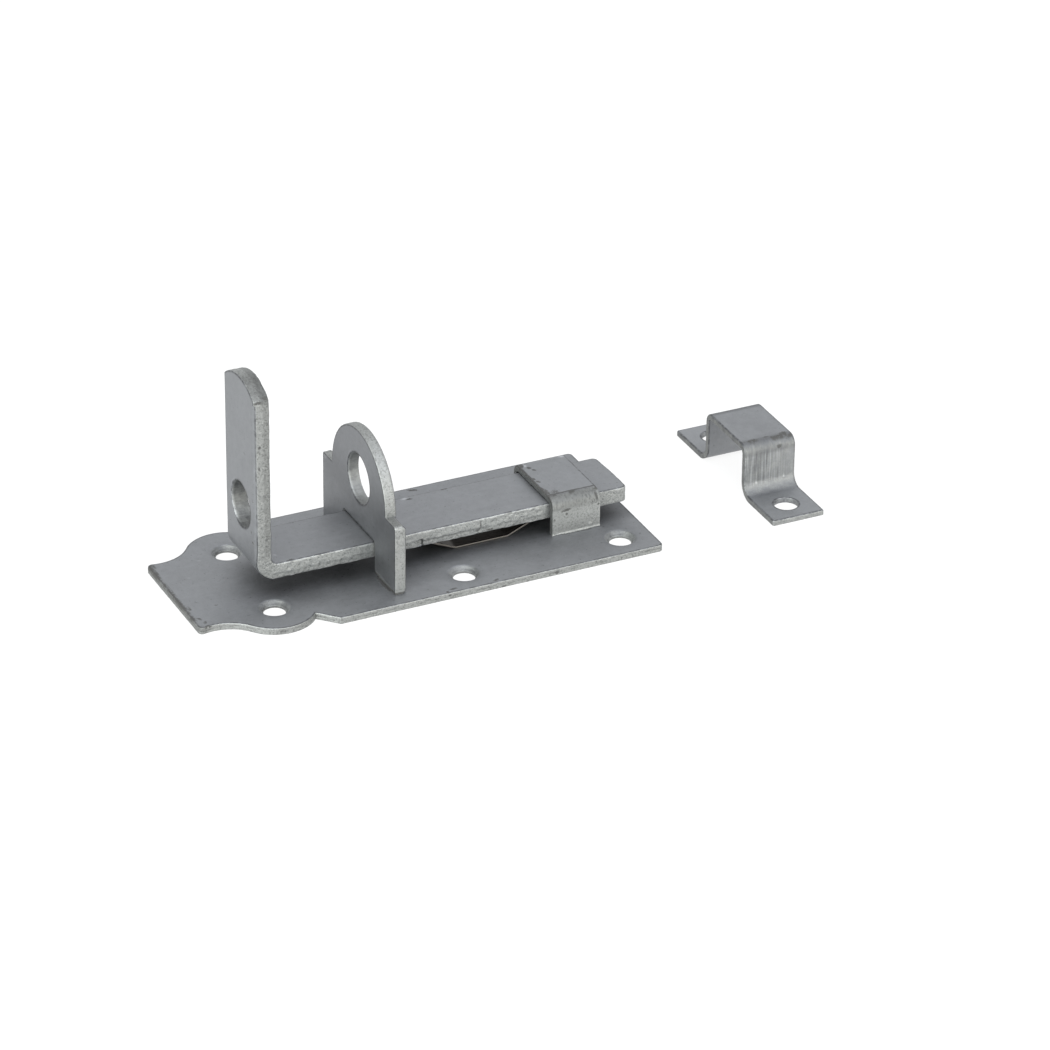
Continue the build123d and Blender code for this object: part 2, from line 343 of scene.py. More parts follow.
@dataclass
class Surface:
    """A closed mesh of a flat piece, with what the finish needs to know about each point.

    points holds (along, across, height) on the blank. edge is the distance from the nearest rim, wall
    is 1 on a cut rim, less in a hole, 0 on a plain face and between on a scraped one, and inward
    points into the metal on a rim. soil is dirt, and in places painted contact shadow, and score is
    lines drawn along the blank, both from 0 to 1. tone is how much lighter or darker the metal is than
    elsewhere, as a share, from its own marks and from painted light and shade.
    """

    points: np.ndarray
    faces: list[np.ndarray]
    edge: np.ndarray
    wall: np.ndarray
    inward: np.ndarray
    thickness: float
    soil_and_shadow: np.ndarray = field(init=False)
    score: np.ndarray = field(init=False)
    tone: np.ndarray = field(init=False)

    def __post_init__(self) -> None:
        """Starts clean and even."""
        self.soil_and_shadow, self.score, self.tone = np.zeros((3, len(self.points)))

    def shade(self, amount: float | np.ndarray, mask: np.ndarray) -> None:
        """Makes the metal lighter under a mask, or darker where the amount is negative."""
        self.tone += amount * mask

    def soiled_and_shaded(self, mask: np.ndarray) -> None:
        """Lays soil, and painted contact shadow, where the mask is stronger than what lies there."""
        self.soil_and_shadow = np.maximum(self.soil_and_shadow, mask)

    def scrape(self, mask: np.ndarray) -> None:
        """Gives a face the speckled finish of a rim where the mask is stronger than wall."""
        self.wall = np.maximum(self.wall, mask)

    def press(self, top: float | np.ndarray = 0.0, under: float | np.ndarray = 0.0) -> None:
        """Moves the faces up or down, and the rims between them by their share of the height."""
        share = np.clip(self.points[:, 2] / self.thickness, 0.0, 1.0)
        self.points[:, 2] += share * top + (1.0 - share) * under

    def cut_back(self, depth: np.ndarray) -> None:
        """Moves the points of a rim into the metal by a depth for each."""
        self.points[:, :2] += self.inward * depth[:, None]

    def spread_tenons(self, rest: np.ndarray, bevel: float) -> None:
        """Thickens the ends of the tenons by peening.

        Args:
            rest: distance of each point from the tenon's end.
            bevel: how far the end is spread on both faces, over as much of the tenon's depth.
        """
        spread = np.clip(bevel - rest, 0.0, bevel)
        self.press(top=spread, under=-spread)

    def mark(self, marks: tuple[Mark, ...]) -> None:
        """Puts marks on the blank, each (1 - d²)² strong at a distance d in half sizes.

        Args:
            marks: the marks.
        """
        for mark in marks:
            on_rim = mark.face is Face.NEAR_RIM
            away = self.points[:, [0, 2] if on_rim else [0, 1]] - np.array(mark.where)
            angle = math.radians(mark.turn)
            along = away @ np.array([math.cos(angle), math.sin(angle)]) / mark.size[0]
            across = away @ np.array([-math.sin(angle), math.cos(angle)]) / mark.size[1]
            mask = bump(np.hypot(along, across), 1.0)
            share = np.clip(self.points[:, 2] / self.thickness, 0.0, 1.0)
            if on_rim:
                mask = mask * self.near_rim()
                self.cut_back(mark.dent * mask)
            elif mark.face is Face.TOP:
                mask = mask * slope(share, 0.4, 0.9)
                self.press(top=-mark.dent * mask)
            else:
                mask = mask * slope(share, 0.6, 0.1)
                self.press(under=mark.dent * mask)
            self.soiled_and_shaded(mark.soil_and_shadow * mask)
            self.shade(mark.tone, mask)

    def near_rim(self) -> np.ndarray:
        """1 on the cut rim at the blank's near side, where it faces away from the middle."""
        return slope(self.wall, 0.2, 0.7) * (self.inward[:, 1] > 0.3)

    def tear(self, level: float, reach: float, depth: float, seed: int) -> None:
        """Tears the rims at a level, as shearing does: a ragged groove with dark stretches.

        Args:
            level: height of the groove's middle, which strays by half its reach.
            reach: half its width.
            depth: how deep it is.
            seed: number of the noise pattern.
        """
        flat = self.points[:, :2]
        stray = 0.5 * reach * Mottle(3.0, seed, octaves=2).at(flat)
        strength = slope(Mottle(1.7, seed + 1, octaves=3).at(flat), -0.5, 0.5)
        groove = bump(self.points[:, 2] - level - stray, reach) * self.wall * strength
        self.cut_back(depth * groove)
        self.shade(-0.35, groove)

    def roughen(self, cell: float, depth: float, seed: int) -> None:
        """Makes the cut rims uneven with noise in three axes."""
        self.cut_back(depth * Mottle(cell, seed, octaves=2).at(self.points) * self.wall)


@dataclass
class Blank:
    """A flat piece of sheet or bar: an outline and holes, with a rim profile for each.

    roll is the share of the profile's inset that each point of the outline gets, 0 where it is
    square, and hole_wall is how strong the finish of a rim is in a hole.
    """

    outer: np.ndarray
    section: np.ndarray
    pitch: float
    holes: list[tuple[np.ndarray, np.ndarray]] = field(default_factory=list)
    roll: np.ndarray | float = 1.0
    hole_wall: float = 0.7

    def surface(self) -> Surface:
        """The closed mesh of the blank.

        A rim is a grid of two parameters: the loop's point i moved into the metal by the profile's
        inset j, at the profile's height j. A face is the even grid of two parameters that the inner
        ends of the rims clip, with the height constant.

        Returns:
            The surface, flat and clean.
        """
        thickness = self.section[-1, 1]
        points, inward, wall, faces = [], [], [], []
        low_loops, high_loops, low_index, high_index = [], [], [], []
        count = 0
        for number, (loop, section) in enumerate([(self.outer, self.section), *self.holes]):
            normal = inward_normals(loop, hole=number > 0)
            size = (len(loop), len(section))
            roll = np.broadcast_to(self.roll if number == 0 else 1.0, len(loop))
            flat = loop[:, None, :] + (normal * roll[:, None])[:, None, :] * section[None, :, :1]
            height = np.broadcast_to(section[:, 1], size)
            points.append(np.concatenate([flat, height[:, :, None]], axis=2).reshape(-1, 3))
            inward.append(np.repeat(normal, len(section), axis=0))
            inset = section[:, 0]
            on_wall = bump(inset, 0.5 * max(0.3, inset.max())) * (self.hole_wall if number else 1.0)
            wall.append(np.broadcast_to(on_wall, size).ravel())
            index = count + np.arange(loop.shape[0] * len(section)).reshape(size)
            onward = np.roll(index, -1, axis=0)
            quads = np.stack([index[:, :-1], onward[:, :-1], onward[:, 1:], index[:, 1:]], axis=2)
            faces.append((quads[:, :, ::-1] if number else quads).reshape(-1, 4))
            low_loops.append(flat[:, 0])
            high_loops.append(flat[:, -1])
            low_index.append(index[:, 0])
            high_index.append(index[:, -1])
            count += index.size
        for loops, indices, height, up in (
            (low_loops, low_index, 0.0, False),
            (high_loops, high_index, thickness, True),
        ):
            grid, triangles = self.face(loops)
            names = np.concatenate([*indices, count + np.arange(len(grid))])
            points.append(np.column_stack([grid, np.full(len(grid), height)]))
            inward.append(np.zeros((len(grid), 2)))
            wall.append(np.zeros(len(grid)))
            faces.append(names[triangles if up else triangles[:, ::-1]])
            count += len(grid)
        flat_points = np.concatenate(points)
        loops = [self.outer, *(loop for loop, _ in self.holes)]
        return Surface(
            points=flat_points,
            faces=faces,
            edge=nearest(flat_points[:, :2], loops),
            wall=np.concatenate(wall),
            inward=np.concatenate(inward),
            thickness=thickness,
        )

    def face(self, loops: list[np.ndarray]) -> tuple[np.ndarray, np.ndarray]:
        """Fills the space between the loops with an even grid of points and Delaunay triangles.

        Args:
            loops: the rims' ends on this face.

        Returns:
            The grid's points, and triangles that number the loops' points first and then the grid's.
        """
        low, high = self.outer.min(axis=0), self.outer.max(axis=0)
        counts = np.ceil((high - low) / self.pitch).astype(int)
        first, second = (
            np.linspace(low[axis], high[axis], counts[axis] + 1)[1:-1] for axis in (0, 1)
        )
        grid = np.stack(np.meshgrid(first, second, indexing="ij"), axis=2).reshape(-1, 2)
        grid = grid[inside(grid, loops)]
        grid = grid[nearest(grid, loops) > 0.6 * self.pitch]
        flat = np.concatenate([*loops, grid])
        starts = np.cumsum([0, *(len(loop) for loop in loops)])
        edges = np.concatenate(
            [
                np.stack([start + np.arange(len(loop)), start + np.roll(np.arange(len(loop)), -1)], axis=1)
                for start, loop in zip(starts, loops)
            ]
        )
        found = delaunay_2d_cdt([Vector(point) for point in flat], edges.tolist(), [], 0, 1e-6, True)
        names = np.array([given[0] for given in found[3]])
        triangles = names[np.array(found[2])]
        corner = flat[triangles]
        triangles = triangles[inside(corner.mean(axis=1), loops)]
        corner = flat[triangles]
        first, second = corner[:, 1] - corner[:, 0], corner[:, 2] - corner[:, 0]
        clockwise = first[:, 0] * second[:, 1] < first[:, 1] * second[:, 0]
        triangles[clockwise] = triangles[clockwise][:, ::-1]
        return grid, triangles


@dataclass(frozen=True)
class BendLine:
    """The line that a blank's underside follows once it is bent, in a plane of two frame axes.

    runs holds a length and a turn in degrees for each stretch. A turn of 0 is straight, and a positive
    one turns left, towards the side on which the metal lies.
    """

    start: tuple[float, float]
    heading: float
    runs: tuple[tuple[float, float], ...]

    def length(self) -> float:
        """Length of the whole line."""
        return sum(run for run, _ in self.runs)

    def at(self, along: np.ndarray, height: np.ndarray) -> np.ndarray:
        """Where points of the blank come to lie.

        On a stretch of length l that turns by an angle t, the curvature is k = t / l. A distance s
        along it, the heading is a = a0 + k s, and the place is the integral of (cos a, sin a), which
        is (sin a - sin a0, cos a0 - cos a) / k, or s (cos a0, sin a0) where k is 0. The height is
        then added along the left normal (-sin a, cos a).

        Args:
            along: distance from the line's start.
            height: height above the blank's underside.

        Returns:
            An (n, 2) array in the plane of the line.
        """
        lengths = np.array([run for run, _ in self.runs])
        turns = np.radians([turn for _, turn in self.runs])
        heads = math.radians(self.heading) + np.cumsum([0.0, *turns])
        bends = turns / lengths
        safe = np.where(bends == 0.0, 1.0, bends)
        moves = np.where(
            (bends == 0.0)[:, None],
            lengths[:, None] * np.stack([np.cos(heads[:-1]), np.sin(heads[:-1])], axis=1),
            np.stack(
                [np.sin(heads[1:]) - np.sin(heads[:-1]), np.cos(heads[:-1]) - np.cos(heads[1:])], axis=1
            )
            / safe[:, None],
        )
        corners = np.array(self.start) + np.cumsum(np.vstack([[0.0, 0.0], moves]), axis=0)
        marks = np.cumsum([0.0, *lengths])
        stretch = np.clip(np.searchsorted(marks, along, side="right") - 1, 0, len(lengths) - 1)
        rest = along - marks[stretch]
        first, bend = heads[stretch], bends[stretch]
        angle = first + bend * rest
        curved = bend != 0.0
        divide = np.where(curved, bend, 1.0)
        turned = np.stack([np.sin(angle) - np.sin(first), np.cos(first) - np.cos(angle)], axis=1)
        shift = np.where(
            curved[:, None],
            turned / divide[:, None],
            rest[:, None] * np.stack([np.cos(first), np.sin(first)], axis=1),
        )
        normal = np.stack([-np.sin(angle), np.cos(angle)], axis=1)
        return corners[stretch] + shift + height[:, None] * normal


def mesh_object(name: str, surface: Surface, places: np.ndarray) -> bpy.types.Object:
    """Makes a Blender object from a surface and the final places of its points.

    Args:
        name: the piece's name.
        surface: the blank, whose flat coordinates and masks become attributes.
        places: an (n, 3) array in millimetres.

    Returns:
        The object, at the origin, with its place in its mesh.
    """
    mesh = bpy.data.meshes.new(name)
    faces = [face for part in surface.faces for face in part.tolist()]
    mesh.from_pydata((places * MM).tolist(), [], faces)
    blank = mesh.attributes.new("blank", "FLOAT_VECTOR", "POINT")
    blank.data.foreach_set("vector", surface.points.astype(np.float32).ravel())
    for label in ("edge", "wall", "soil_and_shadow", "score", "tone"):
        attribute = mesh.attributes.new(label, "FLOAT", "POINT")
        attribute.data.foreach_set("value", getattr(surface, label).astype(np.float32))
    mesh.shade_smooth()
    mesh.set_sharp_from_angle(angle=math.radians(SHARP_FROM))
    mesh.update()
    piece = bpy.data.objects.new(name, mesh)
    bpy.context.scene.collection.objects.link(piece)
    return piece


def hand_over(
    piece: bpy.types.Object, node: str, body: str, finish: bpy.types.Material
) -> None:
    """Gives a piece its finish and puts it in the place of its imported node."""
    piece.data.materials.append(finish)
    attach(piece, body)
    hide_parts(node)
    log.info("%s: %d points, in place of %s on %s", piece.name, len(piece.data.vertices), node, body)


# Finishes

class Socket:
    """An output of a shader node that takes part in arithmetic, where each step adds a Math node."""

    def __init__(self, recipe: "Recipe", link: bpy.types.NodeSocket) -> None:
        """Keeps the output and the recipe that it belongs to."""
        self.recipe = recipe
        self.link = link

    def math(self, operation: str, *others: "Socket | float", first: bool = True) -> "Socket":
        """A Math node on this socket and others.

        Args:
            operation: the Math node's operation.
            others: the other values.
            first: whether this socket is the first value.

        Returns:
            The result.
        """
        values = [self, *others] if first else [*others, self]
        return self.recipe.node("ShaderNodeMath", {"operation": operation}, dict(enumerate(values)))

    def __add__(self, other: "Socket | float") -> "Socket":
        """Sum."""
        return self.math("ADD", other)

    def __radd__(self, other: float) -> "Socket":
        """Sum with a number on the left."""
        return self.math("ADD", other)

    def __sub__(self, other: "Socket | float") -> "Socket":
        """Difference."""
        return self.math("SUBTRACT", other)

    def __rsub__(self, other: float) -> "Socket":
        """A number less this."""
        return self.math("SUBTRACT", other, first=False)

    def __mul__(self, other: "Socket | float") -> "Socket":
        """Product."""
        return self.math("MULTIPLY", other)

    def __rmul__(self, other: float) -> "Socket":
        """Product with a number on the left."""
        return self.math("MULTIPLY", other)

    def __truediv__(self, other: "Socket | float") -> "Socket":
        """Quotient."""
        return self.math("DIVIDE", other)

    def __pow__(self, other: float) -> "Socket":
        """Power."""
        return self.math("POWER", other)

    def ramp(self, low: float, high: float, to_low: float = 0.0, to_high: float = 1.0) -> "Socket":
        """Smooth step: low and below give to_low, high and above give to_high."""
        return self.recipe.node(
            "ShaderNodeMapRange",
            {"interpolation_type": "SMOOTHSTEP"},
            {"Value": self, "From Min": low, "From Max": high, "To Min": to_low, "To Max": to_high},
        )


Colour = tuple[float, float, float]


class Recipe:
    """A material under construction, with one method that adds any node."""

    def __init__(self, name: str) -> None:
        """Starts a material with only its output node."""
        self.material = bpy.data.materials.new(name)
        self.material.use_nodes = True
        self.tree = self.material.node_tree
        self.tree.nodes.clear()
        self.end = self.tree.nodes.new("ShaderNodeOutputMaterial")

    def node(
        self,
        kind: str,
        settings: dict[str, object] | None = None,
        inputs: dict[str | int, object] | None = None,
        output: str | int = 0,
    ) -> Socket:
        """Adds a node.

        Args:
            kind: the node's type.
            settings: properties of the node, set first.
            inputs: values or sockets by the input's name or number.
            output: the wanted output.

        Returns:
            That output.
        """
        made = self.tree.nodes.new(kind)
        for name, value in (settings or {}).items():
            setattr(made, name, value)
        for name, value in (inputs or {}).items():
            if isinstance(value, Socket):
                self.tree.links.new(value.link, made.inputs[name])
            elif isinstance(value, tuple) and made.inputs[name].type == "RGBA":
                made.inputs[name].default_value = (*value, 1.0)
            else:
                made.inputs[name].default_value = value
        return Socket(self, made.outputs[output])

    def attribute(self, name: str, output: str = "Fac") -> Socket:
        """One of the piece's own attributes."""
        return self.node("ShaderNodeAttribute", {"attribute_name": name}, {}, output)

    def noise(self, place: Socket, size: float, detail: float = 2.0, roughness: float = 0.5) -> Socket:
        """Noise from 0 to 1 whose lumps are about size millimetres across."""
        return self.node(
            "ShaderNodeTexNoise",
            {},
            {"Vector": place, "Scale": 1.0 / size, "Detail": detail, "Roughness": roughness},
            "Fac",
        )

    def stretched(self, place: Socket, scale: tuple[float, float, float]) -> Socket:
        """The place multiplied axis by axis."""
        return self.node("ShaderNodeVectorMath", {"operation": "MULTIPLY"}, {0: place, 1: scale})

    def mix(self, share: Socket | float, first: Socket | Colour, second: Socket | Colour) -> Socket:
        """A blend of two colours."""
        return self.node(
            "ShaderNodeMix", {"data_type": "RGBA"}, {0: share, 6: first, 7: second}, 2
        )

    def tinted(self, colour: Socket | Colour, level: Socket) -> Socket:
        """A colour made lighter or darker by a factor."""
        return self.node(
            "ShaderNodeVectorMath", {"operation": "SCALE"}, {0: colour, "Scale": level}
        )

    def finish(self, shader: Socket) -> bpy.types.Material:
        """Connects the shader and hands the material over."""
        self.tree.links.new(shader.link, self.end.inputs["Surface"])
        return self.material


@dataclass(frozen=True)
class Zinc:
    """Dull zinc plating over cut and pressed steel.

    The faces are clouded, with faint rolling streaks and a few dark specks. The cut rims are lighter
    and thickly speckled, and the faces just beside them carry a band of painted shade, darker in dashes.
    """

    name: str
    tone: Colour = (0.260, 0.267, 0.279)
    rim_tone: Colour = (0.295, 0.301, 0.296)
    pit_tone: Colour = (0.078, 0.081, 0.079)
    soil_and_shadow_tone: Colour = (0.050, 0.049, 0.047)
    roughness: float = 0.55
    rim_roughness: float = 0.62
    blotch: float = 0.07
    blotch_size: float = 5.0
    cloud: float = 0.10
    cloud_size: float = 1.6
    streak: float = 0.03
    streak_size: float = 0.8
    grain: float = 0.10
    grain_size: float = 0.35
    speck: float = 0.28
    speck_size: float = 0.6
    pit_size: float = 0.42
    pit_strength: float = 0.62
    # lip: painted shade on the faces beside every rim, with the dashes darker still
    lip: float = 0.28
    dash: float = 0.32
    dash_size: float = 1.1
    scoring: float = 1.7
    score_size: float = 0.42
    boring: float = 0.4
    bore_size: float = 0.4
    soil_and_shadow_size: float = 0.45
    soil_and_shadow_cover: float = 0.93
    bump_depth: float = 0.00006

    def make(self) -> bpy.types.Material:
        """The plated material, from the blank's coordinates and masks.

        Noises of several sizes are shares that add up to the face's tone. The rim's finish takes over
        where wall is high, a band of painted shade, darker in dashes, lies on the face beside it, and soil,
        which also carries painted contact shadow, covers both.

        Returns:
            The material.
        """
        recipe = Recipe(self.name)
        blank = recipe.attribute("blank", "Vector")
        wall, soil_and_shadow, edge, score, tone = (
            recipe.attribute(name) for name in ("wall", "soil_and_shadow", "edge", "score", "tone")
        )
        lengthwise = recipe.stretched(blank, (0.05, 1.0, 1.0))
        blotch = recipe.noise(blank, self.blotch_size, 3.0, 0.55)
        cloud = recipe.noise(blank, self.cloud_size, 3.0, 0.6)
        grain = recipe.noise(blank, self.grain_size, 2.0, 0.6)
        drawn = (recipe.noise(lengthwise, self.score_size, 1.0, 0.5) - 0.5) * score
        plated = self.plated(recipe, blank, (blotch, cloud, grain), drawn * self.scoring + tone)
        pits = recipe.noise(blank, self.pit_size, 3.0, 0.75) + (cloud - 0.5) * 0.2
        pitted = wall.ramp(0.75, 0.95)
        rim = recipe.mix(pits.ramp(0.47, 0.70) * pitted * self.pit_strength, self.rim_tone, self.pit_tone)
        through = recipe.stretched(blank, (1.0, 1.0, 0.08))
        bored = (recipe.noise(through, self.bore_size, 2.0, 0.6) - 0.5) * (1.0 - pitted)
        lines = bored * self.boring + drawn * self.scoring
        rim = recipe.tinted(rim, 0.75 + grain * 0.34 + cloud * 0.24 + lines + tone)
        ragged = (wall + (cloud - 0.5) * 0.5).ramp(0.35, 0.8)
        # Painted shade on the faces beside the rims, over the rolled edges' highlight, darker in dashes
        beside = edge.ramp(0.2, 0.55, 1.0, 0.0) * (1.0 - ragged)
        dashes = recipe.noise(blank, self.dash_size, 4.0, 0.65).ramp(0.40, 0.58)
        metal = recipe.tinted(
            recipe.mix(ragged, plated, rim), 1.0 - beside * (dashes * self.dash + self.lip)
        )
        patches = recipe.noise(blank, self.soil_and_shadow_size, 4.0, 0.75) * 2.4 - 0.2
        soiled_and_shaded = (soil_and_shadow * patches).ramp(0.2, 0.72, 0.0, self.soil_and_shadow_cover)
        relief = grain * 0.5 + cloud * 0.6 + drawn * 2.0 + wall * (cloud - pits * 2.5)
        normal = recipe.node(
            "ShaderNodeBump", {}, {"Height": relief, "Strength": 0.5, "Distance": self.bump_depth}, "Normal"
        )
        on_face = self.roughness + (blotch - 0.5) * 0.14 + (grain - 0.5) * 0.08
        return recipe.finish(
            recipe.node(
                "ShaderNodeBsdfPrincipled",
                {},
                {
                    "Base Color": recipe.mix(soiled_and_shaded, metal, self.soil_and_shadow_tone),
                    "Metallic": 1.0 - soiled_and_shaded * 0.7,
                    "Roughness": on_face + wall * (self.rim_roughness - self.roughness) + soiled_and_shaded * 0.15,
                    "Normal": normal,
                },
            )
        )

    def plated(
        self, recipe: Recipe, blank: Socket, clouding: tuple[Socket, Socket, Socket], change: Socket
    ) -> Socket:
        """Colour of a face: the plating's tone, clouded, faintly streaked and specked.

        Args:
            recipe: the material.
            blank: the blank's coordinates.
            clouding: the large, middle and small noises.
            change: how much lighter the face is by its lines and its own tone.

        Returns:
            The colour.
        """
        blotch, cloud, grain = clouding
        rolled = recipe.stretched(blank, (0.03, 1.0, 1.0))
        streak = recipe.noise(rolled, self.streak_size, 2.0, 0.6)
        specks = recipe.noise(blank, self.speck_size, 2.0, 0.5).ramp(0.66, 0.76)
        return recipe.tinted(
            self.tone,
            1.0
            + (blotch - 0.5) * (2.0 * self.blotch)
            + (cloud - 0.5) * (2.0 * self.cloud)
            + (streak - 0.5) * (2.0 * self.streak)
            + (grain - 0.5) * (2.0 * self.grain)
            + change
            - specks * self.speck,
        )


@dataclass(frozen=True)
class SpringSteel:
    """Thin rolled spring steel with a brownish temper film, its tone darkened further by painted shade."""

    name: str
    # The temper film's dark brown, made darker still as painted shade for the spring's place under the
    # bolt.
    tone: Colour = (0.085, 0.074, 0.064)
    bright: Colour = (0.15, 0.138, 0.126)
    roughness: float = 0.34
    film_size: float = 2.5
    line_size: float = 0.3
    bump_depth: float = 0.00003

    def make(self) -> bpy.types.Material:
        """The material: lengthwise rolling lines, a blotchy film and brighter slit edges."""
        recipe = Recipe(self.name)
        blank = recipe.attribute("blank", "Vector")
        wall = recipe.attribute("wall")
        film = recipe.noise(blank, self.film_size, 3.0, 0.6)
        lengthwise = recipe.stretched(blank, (0.03, 1.0, 1.0))
        lines = recipe.noise(lengthwise, self.line_size, 2.0, 0.6)
        level = 0.75 + film * 0.4 + (lines - 0.5) * 0.3
        colour = recipe.mix(wall.ramp(0.3, 0.7), recipe.tinted(self.tone, level), self.bright)
        normal = recipe.node(
            "ShaderNodeBump", {}, {"Height": lines, "Strength": 0.3, "Distance": self.bump_depth}, "Normal"
        )
        return recipe.finish(
            recipe.node(
                "ShaderNodeBsdfPrincipled",
                {},
                {
                    "Base Color": colour,
                    "Metallic": 1.0,
                    "Roughness": self.roughness + film * 0.15,
                    "Normal": normal,
                },
            )
        )


# The back plate and what is fixed to it

@dataclass
class LatchPlate:
    """Back plate with its padlock staple, guide clip and leaf spring."""

    zinc: bpy.types.Material
    steel: bpy.types.Material
    step: float = 0.35
    fine_step: float = 0.3
    corner_step: float = 0.2
    pitch: float = 0.42
    coarse_pitch: float = 0.5
    clip_step: float = 0.25
    clip_pitch: float = 0.2
    plate_thickness: float = 1.5
    tenon_width: float = 6.0
    tenon_clearance: float = 0.05
    peen_bevel: float = 0.4
    corner_radius: float = 1.0
    edge_roll: float = 0.25
    foot_roll: float = 0.08
    tail_length: float = 27.5
    cusp_half_width: float = 18.0
    bulge_radius: float = 8.6
    flank_radius: float = 8.5
    waist_half_width: float = 14.0
    tail_hole_inset: float = 17.0
    tail_hole_y: float = 12.5
    hole_radius: float = 2.3
    sink_width: float = 1.05
    sink_lip: float = 0.35
    dish_depth: float = 0.08
    dish_reach: float = 1.6
    tear_height: float = 0.74
    painted_shade_beside_bolt: float = 0.42
    painted_shade_near_arm: float = 0.26
    end_hole_inset: float = 6.8
    hole_spacing: float = 35.5
    hole_y: float = 15.5
    staple_thickness: float = 2.5
    shoulder_height: float = 15.5
    arch_radius: float = 13.5
    shoulder_radius: float = 0.8
    staple_back_roll: float = 0.55
    staple_front_roll: float = 0.22
    staple_hole_radius: float = 5.4
    shoulder_droop: float = 0.6
    foot_droop: float = 0.45
    padlock_axis: float = 19.4
    window_half_width: float = 7.85
    window_top: float = 8.6
    window_radius: float = 1.0
    foot_radius: float = 0.7
    clip_thickness: float = 1.3
    clip_inner_half_width: float = 8.1
    clip_inner_top: float = 8.5
    clip_fold: float = 1.0
    clip_roll: float = 0.2
    clip_rim_painted_shade: float = 0.4
    clip_fold_painted_shade: float = 0.46
    clip_leg_scrape: float = 0.92
    clip_burr: float = 0.06
    spring_thickness: float = 0.4
    spring_flat: float = 12.0
    spring_bend: float = 1.5
    spring_corner: float = 0.4

    def build(self) -> None:
        """Builds and hands over the four pieces."""
        self.plate()
        self.staple()
        self.clip()
        self.spring()

    def tail_half(self, end: float, half_width: float) -> list[np.ndarray | tuple[float, float]]:
        """The far half of the tail's outline, from the body's corner to the end edge.

        A short slanting edge runs to the cusp, an arc bulges round the screw hole, a hollow arc
        tangent to it follows, and a small round turns into the end edge.

        Args:
            end: place of the end edge.
            half_width: half of the body's width.

        Returns:
            Corners and arcs, anticlockwise.
        """
        hole = (end + self.tail_hole_inset, self.tail_hole_y)
        flank_y = self.waist_half_width + self.flank_radius
        reach = self.bulge_radius + self.flank_radius
        flank = (hole[0] - math.sqrt(reach**2 - (flank_y - hole[1]) ** 2), flank_y)
        cusp_angle = math.degrees(math.asin((self.cusp_half_width - hole[1]) / self.bulge_radius))
        meet_angle = math.degrees(math.atan2(flank[1] - hole[1], flank[0] - hole[0]))
        round_x = end + self.corner_radius
        beyond = self.flank_radius + self.corner_radius
        round_y = flank_y - math.sqrt(beyond**2 - (round_x - flank[0]) ** 2)
        turn_angle = math.degrees(math.atan2(round_y - flank[1], round_x - flank[0]))
        return [
            (end + self.tail_length, half_width),
            arc(hole, self.bulge_radius, cusp_angle, meet_angle, self.step),
            arc(flank, self.flank_radius, meet_angle - 180.0, turn_angle, self.step),
            arc((round_x, round_y), self.corner_radius, turn_angle + 180.0, 180.0, self.step),
        ]

    def plate(self) -> None:
        """The stamped plate, with its shaped tail, six countersunk holes and four slots."""
        low, high = extent("back_plate")
        far = self.tail_half(low[0], high[1])
        near = [np.atleast_2d(part)[::-1] * (1, -1) for part in reversed(far)]
        corner = (high[0] - self.corner_radius, high[1] - self.corner_radius)
        outer = outline(
            self.step,
            arc((corner[0], -corner[1]), self.corner_radius, -90, 0, self.step),
            arc(corner, self.corner_radius, 0, 90, self.step),
            *far,
            *near,
        )
        centres = self.screw_places(low[0], high[0])
        sunk = sunk_section(self.plate_thickness, self.sink_width, self.sink_lip)
        holes = [(circle(centre, self.hole_radius, self.fine_step), sunk) for centre in centres]
        holes += [(slot, self.slot_section()) for slot in self.slots()]
        rim = edge_section(self.plate_thickness, self.edge_roll, self.foot_roll, rows=9)
        surface = Blank(outer, rim, self.pitch, holes).surface()
        self.work_plate(surface, np.array(centres))
        self.soil_tail(surface, low[0])
        piece = mesh_object("back_plate_stamped", surface, surface.points)
        hand_over(piece, "back_plate", BASE, self.zinc)

    def screw_places(self, tail_end: float, body_end: float) -> list[tuple[float, float]]:
        """Middles of the six screw holes, in pairs on both sides."""
        body_x = body_end - self.end_hole_inset
        pairs = (
            (body_x, self.hole_y),
            (body_x - self.hole_spacing, self.hole_y),
            (tail_end + self.tail_hole_inset, self.tail_hole_y),
        )
        return [(x, side * y) for x, y in pairs for side in (-1, 1)]

    def work_plate(self, surface: Surface, centres: np.ndarray) -> None:
        """Rolls, shades, tears and marks the plate, and dishes it round its countersinks.

        The faces are pressed by two noises, and the dish round each countersink gets a little painted
        shade. Painted shade darkens the plate beside the bolt, most of all on the near side of the arm's
        travel. The rims carry a torn band halfway down, and each countersink's cone has painted shade on
        its far wall and a little painted light on the rest.

        Args:
            surface: the blank.
            centres: middles of the screw holes, as rows.
        """
        flat = surface.points[:, :2]
        aside = flat[:, None, :] - centres
        apart = np.hypot(aside[:, :, 0], aside[:, :, 1])
        closest = (np.arange(len(flat)), apart.argmin(axis=1))
        from_hole = apart[closest]
        farther = (aside[closest] @ np.array([0.43, 0.9])) / from_hole
        sink = self.hole_radius + self.sink_width
        dished = bump(np.maximum(from_hole - sink, 0.0), self.dish_reach)
        rolling = 0.025 * Mottle(14.0, seed=1, octaves=2).at(flat) + 0.008 * Mottle(1.6, seed=2).at(flat)
        surface.press(top=rolling - self.dish_depth * dished, under=0.5 * np.maximum(rolling, 0.0))
        # A little painted shade in the dish round each countersink.
        surface.shade(-0.05, dished * (1.0 - surface.wall))
